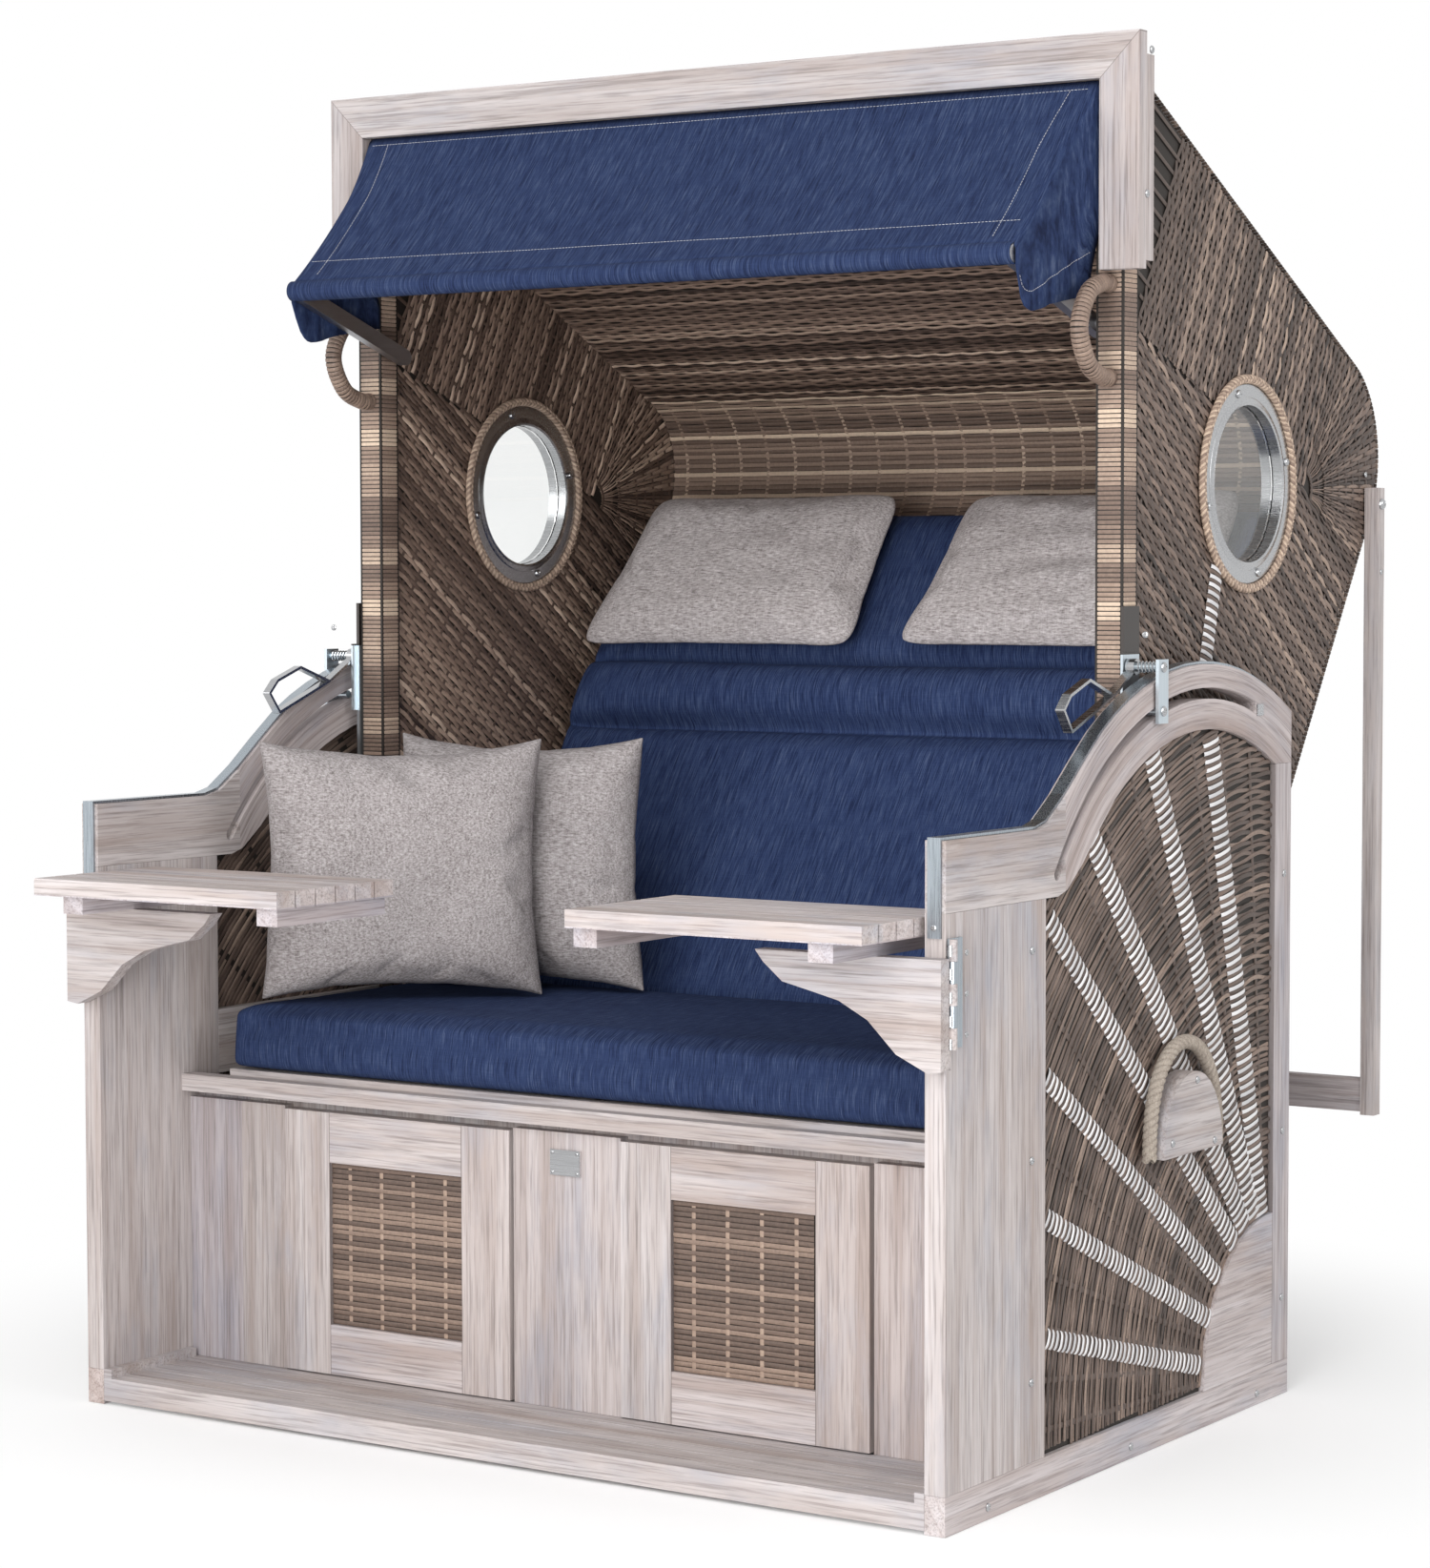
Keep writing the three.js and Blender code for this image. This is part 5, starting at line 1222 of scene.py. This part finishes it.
def awning_profile():
    """The cloth's middle line as [y, z] from under the beam to the bar, and the hem round the bar."""
    start = np.array([(464 + 2 * 482) / 3, 1616 - 51 - 0.3 - 1.5])
    radius = 10 + 0.3 + 1.5
    end = np.array([BAR[0], BAR[1] + radius])
    share = np.linspace(0, 1, 25)[:-1]
    line = start + (end - start) * share[:, None]
    line[:, 1] -= 11 * 4 * share * (1 - share)
    hem = arc(BAR, radius, 90, 290, 13)
    return np.vstack([line, hem[:1]]), hem


def make_awning():
    line, hem = awning_profile()
    lengths = distances(line)
    narrow, fold = 515.5, 9.0
    hem_points = np.array([(0.0, 0.22), (0.03, 0.45), (0.08, 0.78), (0.14, 0.96), (0.22, 1.0), (0.32, 0.95),
                           (0.45, 0.84), (0.74, 0.70), (1.0, 0.60)])
    start_y, end_y = line[0][0], line[-1][0]
    wave = np.random.default_rng(21)
    points = np.zeros((len(line), TOP_COLUMNS + 2 * FLAP_COLUMNS, 3))
    for i, (y, z) in enumerate(line):
        along = (y - end_y) / (start_y - end_y)
        flare = 15 * np.clip((along - 0.62) / 0.38, 0, 1) ** 1.4
        half = narrow + flare
        top = np.linspace(-(half - fold), half - fold, TOP_COLUMNS)
        low = BAR[1] - 62 * np.interp(along, hem_points[:, 0], hem_points[:, 1])
        drop = max(z - low, 6.0)
        row = [(x, y, z) for x in top]
        for side in (1, -1):
            flap = []
            for k in range(1, 5):
                angle = math.pi / 2 * k / 4
                flap.append((side * (half - fold + fold * math.sin(angle)), y,
                             z - fold * (1 - math.cos(angle))))
            for k in range(1, 10):
                below = z - fold - (drop - fold) * k / 9
                share = np.clip((below - 1352) / 55, 0, 1)
                flap.append((side * (narrow + flare * share), y, below))
            row = row + flap if side > 0 else flap[::-1] + row
        points[i] = np.array(row)
    # Slack between the arms, and soft pulls running in from the corners
    across = np.clip(points[:, :, 0] / narrow, -1, 1)
    along = (lengths / lengths[-1])[:, None] * np.ones_like(across)
    hold = np.clip(np.sin(np.pi * np.clip(along, 0, 1)), 0, 1) * (1 - across ** 8)
    lift = np.zeros_like(across)
    for _ in range(16):
        a, b = wave.uniform(-1, 1), wave.uniform(0.1, 0.95)
        spread = wave.uniform(0.05, 0.25)
        lift += wave.normal(0, 1.5) * np.exp(-((across - a) / spread) ** 2 - ((along - b) / 0.25) ** 2)
    for corner in (-1, 1):
        ray = np.clip(1 - np.abs(across - corner), 0, 1)
        lift += 2.4 * np.exp(-((along - 0.2 - 0.75 * (1 - ray)) / 0.06) ** 2) * ray
    lift -= 2.5 * (1 - across ** 2)
    points[:, :, 2] += lift * hold
    points[:, :, 1] += lift * hold * 0.5
    flaps = np.abs(across) > 0.9985
    ripple = 2.0 * np.sin(along * 19) * np.clip((line[:, 1][:, None] - points[:, :, 2]) / 80, 0, 1)
    points[:, :, 0] += np.where(flaps, -np.sign(points[:, :, 0]) * np.abs(ripple), 0)
    mesh, area = sheet_mesh("awning_sheet", points)
    sheet = link("awning_sheet", mesh, NAVY, "hood", ("awning_cloth",))
    thicken(sheet)
    stitches = Strands()
    count = points.shape[1]

    def stitch(path, facing):
        lengths_here = distances(path)
        for at in np.arange(1, lengths_here[-1] - 4, 4.6):
            ends = [np.array([np.interp(t, lengths_here, path[:, i]) for i in range(3)])
                    for t in (at, at + 1.6, at + 3.2)]
            stitches.add(np.array(ends) + np.array(facing) * 1.0, facing, 0.75, 0.35, 0.8)

    up = (0.0, -0.75, 0.66)
    for row in (20, 1):
        stitch(points[row, FLAP_COLUMNS:-FLAP_COLUMNS], up)
    for column in (FLAP_COLUMNS + 3, count - FLAP_COLUMNS - 4):
        stitch(points[1:-1, column], up)
    for side, j in ((-1, 2), (1, count - 3)):
        stitch(points[1:-1, j], (side, 0, 0))
    seams = stitches.piece("awning_stitches", PALE_THREAD, "hood", "navy_fabric")
    for piece in (sheet, seams):
        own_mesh(piece)
    make_hem(hem, narrow - 2.0)


def make_hem(hem, half):
    """The sleeve sewn round the bar, which goes with the bar."""
    xs = np.linspace(-half, half, TOP_COLUMNS)
    mesh, area = sheet_mesh("awning_hem", np.array([[(x, y, z) for x in xs] for y, z in hem]))
    sleeve = link("awning_hem", mesh, NAVY, "awning")
    thicken(sleeve)


def thread():
    shade = Shade("pale_thread", 0.8)
    noise = shade.noise(900.0)
    shade.colour(shade.ramp(noise, [(0.3, (0.35, 0.35, 0.38)), (0.7, (0.55, 0.56, 0.6))]))
    return shade.material


PALE_THREAD = thread()
make_awning()


# Cushions and pillows
def box_surface(xs, ys, zs):
    """The surface of a cube from -1 to 1, cut at three lists of shares, as points and quads."""
    nx, ny, nz = len(xs) - 1, len(ys) - 1, len(zs) - 1
    index, points, faces = {}, [], []

    def corner(i, j, k):
        key = (i, j, k)
        if key not in index:
            index[key] = len(points)
            points.append((xs[i], ys[j], zs[k]))
        return index[key]

    for i in range(nx):
        for j in range(ny):
            faces.append((corner(i, j, nz), corner(i + 1, j, nz),
                          corner(i + 1, j + 1, nz), corner(i, j + 1, nz)))
            faces.append((corner(i, j, 0), corner(i, j + 1, 0),
                          corner(i + 1, j + 1, 0), corner(i + 1, j, 0)))
    for i in range(nx):
        for k in range(nz):
            faces.append((corner(i, 0, k), corner(i + 1, 0, k),
                          corner(i + 1, 0, k + 1), corner(i, 0, k + 1)))
            faces.append((corner(i, ny, k), corner(i, ny, k + 1),
                          corner(i + 1, ny, k + 1), corner(i + 1, ny, k)))
    for j in range(ny):
        for k in range(nz):
            faces.append((corner(0, j, k), corner(0, j, k + 1),
                          corner(0, j + 1, k + 1), corner(0, j + 1, k)))
            faces.append((corner(nx, j, k), corner(nx, j + 1, k),
                          corner(nx, j + 1, k + 1), corner(nx, j, k + 1)))
    return np.array(points), faces


def even(count):
    return np.linspace(-1, 1, count + 1)


def puff(piece, pressure, cap, frames_run, stiff, bend, held=None):
    """Blows a stuffed piece up as cloth and keeps each point within cap of where it was."""
    scene = bpy.context.scene
    start = np.empty(len(piece.data.vertices) * 3)
    piece.data.vertices.foreach_get("co", start)
    if held is not None:
        group = piece.vertex_groups.new(name="held")
        for weight in np.unique(np.round(held, 1)):
            group.add([int(i) for i in np.flatnonzero(np.round(held, 1) == weight)], float(weight), "REPLACE")
    cloth = piece.modifiers.new("cloth", "CLOTH")
    settings = cloth.settings
    settings.quality = 5
    settings.mass = 0.25
    settings.tension_stiffness = settings.compression_stiffness = stiff
    settings.shear_stiffness = stiff / 2
    settings.bending_stiffness = bend
    settings.use_pressure = True
    settings.uniform_pressure_force = pressure
    settings.effector_weights.gravity = 0
    settings.air_damping = 2.0
    if held is not None:
        settings.vertex_group_mass = "held"
    cloth.point_cache.frame_start = 1
    cloth.point_cache.frame_end = frames_run
    scene.frame_start, scene.frame_end = 1, frames_run
    for step in range(1, frames_run + 1):
        scene.frame_set(step)
    shape = piece.evaluated_get(bpy.context.evaluated_depsgraph_get()).data
    end = np.empty(len(start))
    shape.vertices.foreach_get("co", end)
    piece.modifiers.remove(cloth)
    if held is not None:
        piece.vertex_groups.remove(group)
    scene.frame_set(1)
    move = (end - start).reshape(-1, 3)
    length = np.linalg.norm(move, axis=1, keepdims=True)
    move *= cap * np.tanh(length / cap) / np.maximum(length, 1e-9)
    piece.data.vertices.foreach_set("co", (start.reshape(-1, 3) + move).reshape(-1))
    piece.data.update()


def soft_piece(name, points, faces, material, body, stands_for):
    mesh = bpy.data.meshes.new(name)
    mesh.from_pydata([tuple(p) for p in points], [], faces)
    mesh.validate()
    mesh.shade_smooth()
    return link(name, mesh, material, body, (stands_for,))


def to_world(local, across, up, centre):
    """Local millimetres set into place: across and up are unit directions, centre a millimetre point."""
    across, up = np.array(across, float), np.array(up, float)
    facing = np.cross(across, up)
    spot = np.array(centre) + local[:, :1] * across + local[:, 1:2] * up + local[:, 2:] * facing
    return metres(spot)


def settle(piece, local_box, across, up, centre):
    """Brings a blown-up piece back to its width, height and thickness in its own directions."""
    count = len(piece.data.vertices)
    co = np.empty(count * 3)
    piece.data.vertices.foreach_get("co", co)
    co = co.reshape(-1, 3)
    across, up = np.array(across, float), np.array(up, float)
    facing = np.cross(across, up)
    base = metres(centre)
    local = np.stack([(co - base) @ across, (co - base) @ up, (co - base) @ facing], 1)
    low, high = np.array(local_box[0]) * MM, np.array(local_box[1]) * MM
    now_low, now_high = local.min(0), local.max(0)
    local = (local - now_low) / (now_high - now_low) * (high - low) + low
    co = base + local[:, :1] * across + local[:, 1:2] * up + local[:, 2:] * facing
    piece.data.vertices.foreach_set("co", co.reshape(-1))
    piece.data.update()


def finish_soft(piece):
    smooth = piece.modifiers.new("smooth", "SUBSURF")
    smooth.levels = smooth.render_levels = 1


def rounded_box(grid, half, radius, crown, pull):
    """A boxed cushion in local millimetres: rounded edges, crowned faces and drawn-in sides."""
    u, v, w = grid.T
    flat = grid * half
    inner = np.clip(flat, -(half - radius), half - radius)
    away = flat - inner
    length = np.linalg.norm(away, axis=1, keepdims=True)
    largest = np.max(np.abs(away), axis=1, keepdims=True)
    away = np.where(length > 1e-9, away / np.maximum(length, 1e-9) * np.maximum(largest, 1e-9), away)
    local = inner + away
    local[:, 0] *= 1 - pull * (1 - v ** 2) * 0.35
    local[:, 1] *= 1 - pull * (1 - u ** 2) * 0.35
    full = (1 - np.abs(u) ** 6) * (1 - np.abs(v) ** 6)
    local[:, 2] += w * (crown * full - crown)
    return local


def make_seat_cushion():
    half = np.array([511.0, 214.0, 42.0])
    grid, faces = box_surface(even(150), even(64), even(13))
    local = rounded_box(grid, half, 11.0, 3.5, 0.008)
    held = np.where(grid[:, 2] < -0.99, 1.0, 0.0)
    centre = (0, 375.0, 395.3 + 42)
    across, up = (1, 0, 0), (0, 1, 0)
    piece = soft_piece("seat_pad", to_world(local, across, up, centre), faces, NAVY, "base",
                       "seat_cushion")
    puff(piece, 3.0, 0.006, 16, 14.0, 2.0, held)
    settle(piece, ((-512, -215, -42), (512, 215, 41.8)), across, up, centre)
    finish_soft(piece)


def make_back_cushion():
    start, end = 22.0, 828.0
    half = np.array([513.0, (end - start) / 2 - 0.5, 33.0])
    seams = (470.0, 570.0)
    rows = [start]
    while rows[-1] < end - 4:
        near = min(abs(rows[-1] - seam) for seam in seams)
        rows.append(rows[-1] + (2.6 if near < 14 else 7.6))
    rows = np.array(rows[:-1] + [end])
    grid, faces = box_surface(even(140), (rows - start) / (end - start) * 2 - 1, even(9))
    local = rounded_box(grid, half, 12.0, 4.0, 0.008)
    s = (start + end) / 2 + local[:, 1]
    u, w = grid[:, 0], grid[:, 2]
    away = np.abs(s - (seams[0] + seams[1]) / 2) / ((seams[1] - seams[0]) / 2)
    swell = 27.0 * np.sqrt(np.clip(1 - away ** 2, 0, 1)) ** 0.7
    near = np.minimum(np.abs(s - seams[0]), np.abs(s - seams[1]))
    crease = 19.0 * np.exp(-(near / 5.0) ** 2) + 5.0 * np.exp(-(near / 22.0) ** 2)
    upper = np.clip(w, 0, 1)
    local[:, 2] += upper * (swell - crease) * (1 - np.abs(u) ** 20 * 0.7)
    across, up = (1, 0, 0), (0, *UP_BACK)
    middle = on_back((start + end) / 2, -HUB + 24.3 + 33.0)
    centre = (0, middle[0], middle[1])
    held = np.where((w < -0.99) | ((near < 2.0) & (w > 0.99)), 1.0, 0.0)
    # The back cushion gets the navy with painted light.
    piece = soft_piece("back_pad", to_world(local, across, up, centre), faces, BACK_NAVY_PAINTED_LIGHT, "hood",
                       "back_cushion")
    puff(piece, 2.6, 0.008, 16, 12.0, 0.8, held)
    finish_soft(piece)


def pillow_local(grid, width, height, thick, pull, seed):
    """A pillow sewn from two squares: pointed corners, drawn-in edges and a thin seam."""
    u, v, w = grid.T
    full = np.clip((1 - np.abs(u) ** 3.2) * (1 - np.abs(v) ** 3.2), 0, 1)
    x = u * width / 2 * (1 - pull * 0.5 * (1 - v ** 2) * np.abs(u) ** 1.5)
    dip = pull * (1.0 + 0.6 * (v > 0))
    y = v * height / 2 * (1 - dip * (1 - u ** 2) * np.abs(v) ** 1.5)
    if pull < 0.01:
        corner = 1 - 0.055 * (u * v) ** 8
        x, y = x * corner, y * corner
    z = w * (thick / 2 * full ** 0.48 + 1.6)
    wrinkle = np.random.default_rng(seed)
    for _ in range(12):
        a, b = wrinkle.uniform(-1, 1, 2)
        turn = math.atan2(b, a) + wrinkle.normal(0, 0.4)
        reach = np.exp(-((u - a) ** 2 + (v - b) ** 2) * 5.0)
        z += w * wrinkle.uniform(-3.2, 3.2) * reach * np.cos(
            (u * math.sin(turn) - v * math.cos(turn)) * wrinkle.uniform(9, 15)) * full ** 0.4
    return np.column_stack([x, y, z])


def make_pillow(name, node, body, width, height, thick, across, up, centre, seed, pull):
    grid, faces = box_surface(even(76), even(int(76 * height / width)), even(1))
    local = pillow_local(grid, width, height, thick * 0.82, pull, seed)
    if body == "hood":
        local[:, 0] += 20 * grid[:, 1] * np.clip(-grid[:, 0], 0, 1)
    # Pillows in the hood get the linen with painted light.
    cover = HEAD_LINEN_PAINTED_LIGHT if body == "hood" else LINEN
    piece = soft_piece(name, to_world(local, across, up, centre), faces, cover, body, node)
    puff(piece, 5.0, 0.016, 22, 9.0, 0.25)
    half = (width / 2, height / 2, thick / 2)
    settle(piece, ((-half[0], -half[1], -half[2]), (half[0], half[1], half[2])), across, up, centre)
    finish_soft(piece)


def make_pillows():
    head = on_back(695, -HUB + 24.6 + 66 + 36)
    for side, x, seed in (("left", -285, 3), ("right", 222, 5)):
        make_pillow(f"head_pad_{side}", f"headrest_pillow_{side}", "hood", 430, 246, 74,
                    (1, 0, 0), (0, *UP_BACK), (x, head[0], head[1]), seed, -0.02)
    for side, x, y, turn, seed in (("front", -352, 305, 38, 11), ("back", -300, 486, 7, 17)):
        angle = math.radians(turn)
        make_pillow(f"throw_pad_{side}", f"throw_pillow_{side}", "base", 350, 322, 118,
                    (math.cos(angle), math.sin(angle), 0), (0, 0, 1), (x, y, 479.6 + 161), seed, 0.045)


make_seat_cushion()
make_back_cushion()
make_pillows()


# Small parts
def rope_arc():
    """The rope handle's arch over its block, as lists of y and z."""
    t = np.linspace(0, math.pi, 91)
    y = 535.5 - 86 * np.cos(t)
    z = 338 + 127 * np.sin(t) ** 0.8
    return y, z


def twist_rope_handles():
    """Three strands laid round each other, ends set into the sides of the wooden block."""
    y, z = rope_arc()
    for side, sign in SIDES:
        middle = smooth_path([(sign * 608.6, a, b) for a, b in zip(y, z)], 260)
        a, b = frames(middle)
        length = distances(middle)
        rope = Strands()
        for strand in range(3):
            turn = (length / 27 * 2 * math.pi + strand * 2 * math.pi / 3)[:, None]
            tube(rope, middle + (np.cos(turn) * a + np.sin(turn) * b) * 4.2, 4.6, 0.5, 10)
        link(f"twisted_rope_{side}", rope.mesh(f"twisted_rope_{side}"), ROPE_YARN, "base",
             (f"handle_rope_{side}",))


def fit_screws():
    """Screw heads, hinge sleeves, plates and bolts, each gathered with the body that it moves with."""
    base_spots = [(600.0, 90.8, 13.5), (600.0, 422.6, 13.5), (600.0, 754.6, 13.5), (600.0, 185.9, 372.1),
                  (600.0, 822.9, 325.2), (622.3, 543.1, 420.8), (622.3, 480.2, 354.7), (622.3, 589.0, 345.2),
                  (600.0, 822.9, 120.0), (600.0, 822.9, 640.0), (600.0, 185.9, 130.0), (600.0, 185.9, 600.0)]
    hood_spots = [(583.0, 492.9, 1595.9), (583.0, 482.6, 1433.5)]
    verts, faces = [], []
    for sign in (1, -1):
        for x, y, z in base_spots:
            screw(verts, faces, place(sign * x, y, z), (sign, 0, 0), 0.0046, 0.0022, y)
        screw(verts, faces, place(sign * 587.5, -3.3, 638.5), (0, -1, 0), 0.0034, 0.0012, 0.4)
        for z in (519, 543, 567.5, 592, 616.5):
            rod(verts, faces, z - 5.9 if z > 520 else 513.4, z + 5.6, 5.3, (sign * 606.8, -0.2))
        for z in (527, 570, 613):
            screw(verts, faces, place(sign * 613.4, 20, z), (sign, 0, 0), 0.0036, 0.0012, z)
        small_box(verts, faces, (sign * 600.1, 743, 834), (sign * 601.6, 760, 848))
    small_box(verts, faces, (-22, 159.9, 307), (20, 161.4, 337))
    for x in (-18.5, 16.5):
        for z in (310.5, 333.5):
            screw(verts, faces, place(x, 159.9, z), (0, -1, 0), 0.0021, 0.0010, x + z)
    link("base_fittings", mesh_from("base_fittings", verts, faces), STEEL, "base")
    verts, faces = [], []
    for sign in (1, -1):
        for x, y, z in hood_spots:
            screw(verts, faces, place(sign * x, y, z), (sign, 0, 0), 0.0048, 0.0024, y)
        for z in (660, 700, 935):
            screw(verts, faces, place(sign * 590, 469.9, z), (0, -1, 0), 0.0040, 0.0016, z)
        screw(verts, faces, place(sign * 554.9, 1160, 1130), (sign, 0, 0), 0.0038, 0.0018, 0.9)
        for z in (848, 898):
            screw(verts, faces, place(sign * 607.0, LOCK_Y, z), (sign, 0, 0), 0.0062, 0.0026, z)
    link("hood_fittings", mesh_from("hood_fittings", verts, faces), STEEL, "hood")
    verts, faces = [], []
    for sign in (1, -1):
        screw(verts, faces, place(sign * 573.9, 1168, 1092), (sign, 0, 0), 0.0072, 0.005, 0.3)
        screw(verts, faces, place(sign * 573.9, 1168, 1005), (sign, 0, 0), 0.0036, 0.0018, 0.8)
    link("prop_fittings", mesh_from("prop_fittings", verts, faces), STEEL, "prop")


def wind_hood_bands():
    """The pale wound stake on the outer face of each hood side, below the porthole."""
    a, b = np.array([727.0, 1010.0]), np.array([694.0, 884.0])
    for side, sign in SIDES:
        pale, brown = Strands(), Strands()
        wind_rib(pale, brown, sign, HOOD_OUTER + 2.6, a, b, 16.0)
        pale.piece(f"hood_pale_band_{side}", WHITE_STRIP, "hood", "winding")
        brown.piece(f"hood_brown_band_{side}", CANE, "hood", "winding")


twist_rope_handles()
fit_screws()
wind_hood_bands()


# CAD nodes that stay
NODE_LOOKS = {
    "X": ["foot_deck", "seat_rail", "seat_slats"],
    "Y": ["handle_block_left", "handle_block_right", "drawer_tray_left", "drawer_tray_right",
          "pivot_mount_left", "pivot_mount_right"],
    "Z": ["front_board_left", "front_board_right"],
}


def soften(node, width):
    """A small round along the sharp edges, so that boards catch the light as real ones do."""
    bevel = node.modifiers.new("edges", "BEVEL")
    bevel.width = width * MM
    bevel.segments = 2
    bevel.limit_method = "ANGLE"
    bevel.angle_limit = math.radians(40)
    bevel.harden_normals = True


def dress(node, material, bevel=0.0):
    node.data.materials.clear()
    node.data.materials.append(material)
    if bevel:
        soften(node, bevel)


def two_part_bar():
    """Zinc below, and the dark painted top that the post carries."""
    shade = Shade("lock_bar", 0.35, 1.0)
    lines = shade.noise(1.0, shade.scaled((900, 900, 24)), 2.0)
    zinc = shade.mix(lines, (0.48, 0.55, 0.60), (0.64, 0.70, 0.74))
    shade.colour(shade.mix(side_of(shade, (0, 0, 1), 0.912), zinc, (0.085, 0.078, 0.075)))
    return shade.material


LOCK_BAR = two_part_bar()
GREY_ALLOY = metal("grey_alloy", (0.46, 0.46, 0.48), 0.42, "Y")
# Painted light and shade: the front panel and mouth frame are made darker than the rest of the timber and the
# table tops lighter, to match how lit they look.
BOARD_PAINTED_LIGHT = {"front_panel": 0.90, "mouth_frame": 0.94, "table_top_right": 1.12, "table_top_left": 1.12}
for axis, names in NODE_LOOKS.items():
    for name in names:
        dress(nodes[name], TIMBER[axis], 1.2)
for name, (axis, zones, joints) in BOARDS.items():
    dress(nodes[name], timber(f"{name}_timber", axis, zones, joints, BOARD_PAINTED_LIGHT.get(name, 1.0)), 1.2)
for side in ("left", "right"):
    for name in ("edge_strip", "table_hinge"):
        dress(nodes[f"{name}_{side}"], ZINC)
    dress(nodes[f"lock_bar_{side}"], LOCK_BAR, 0.6)
    dress(nodes[f"lock_spring_{side}"], STEEL)
    dress(nodes[f"lock_lever_{side}"], STEEL)
    # The posts and grab handles under their windings get the painted shade.
    dress(nodes[f"hood_post_{side}"], CANE_SHADE_BACKING, 4.5)
    dress(nodes[f"grab_handle_{side}"], CANE_SHADE_BACKING)
dress(nodes["awning_frame"], GREY_ALLOY)
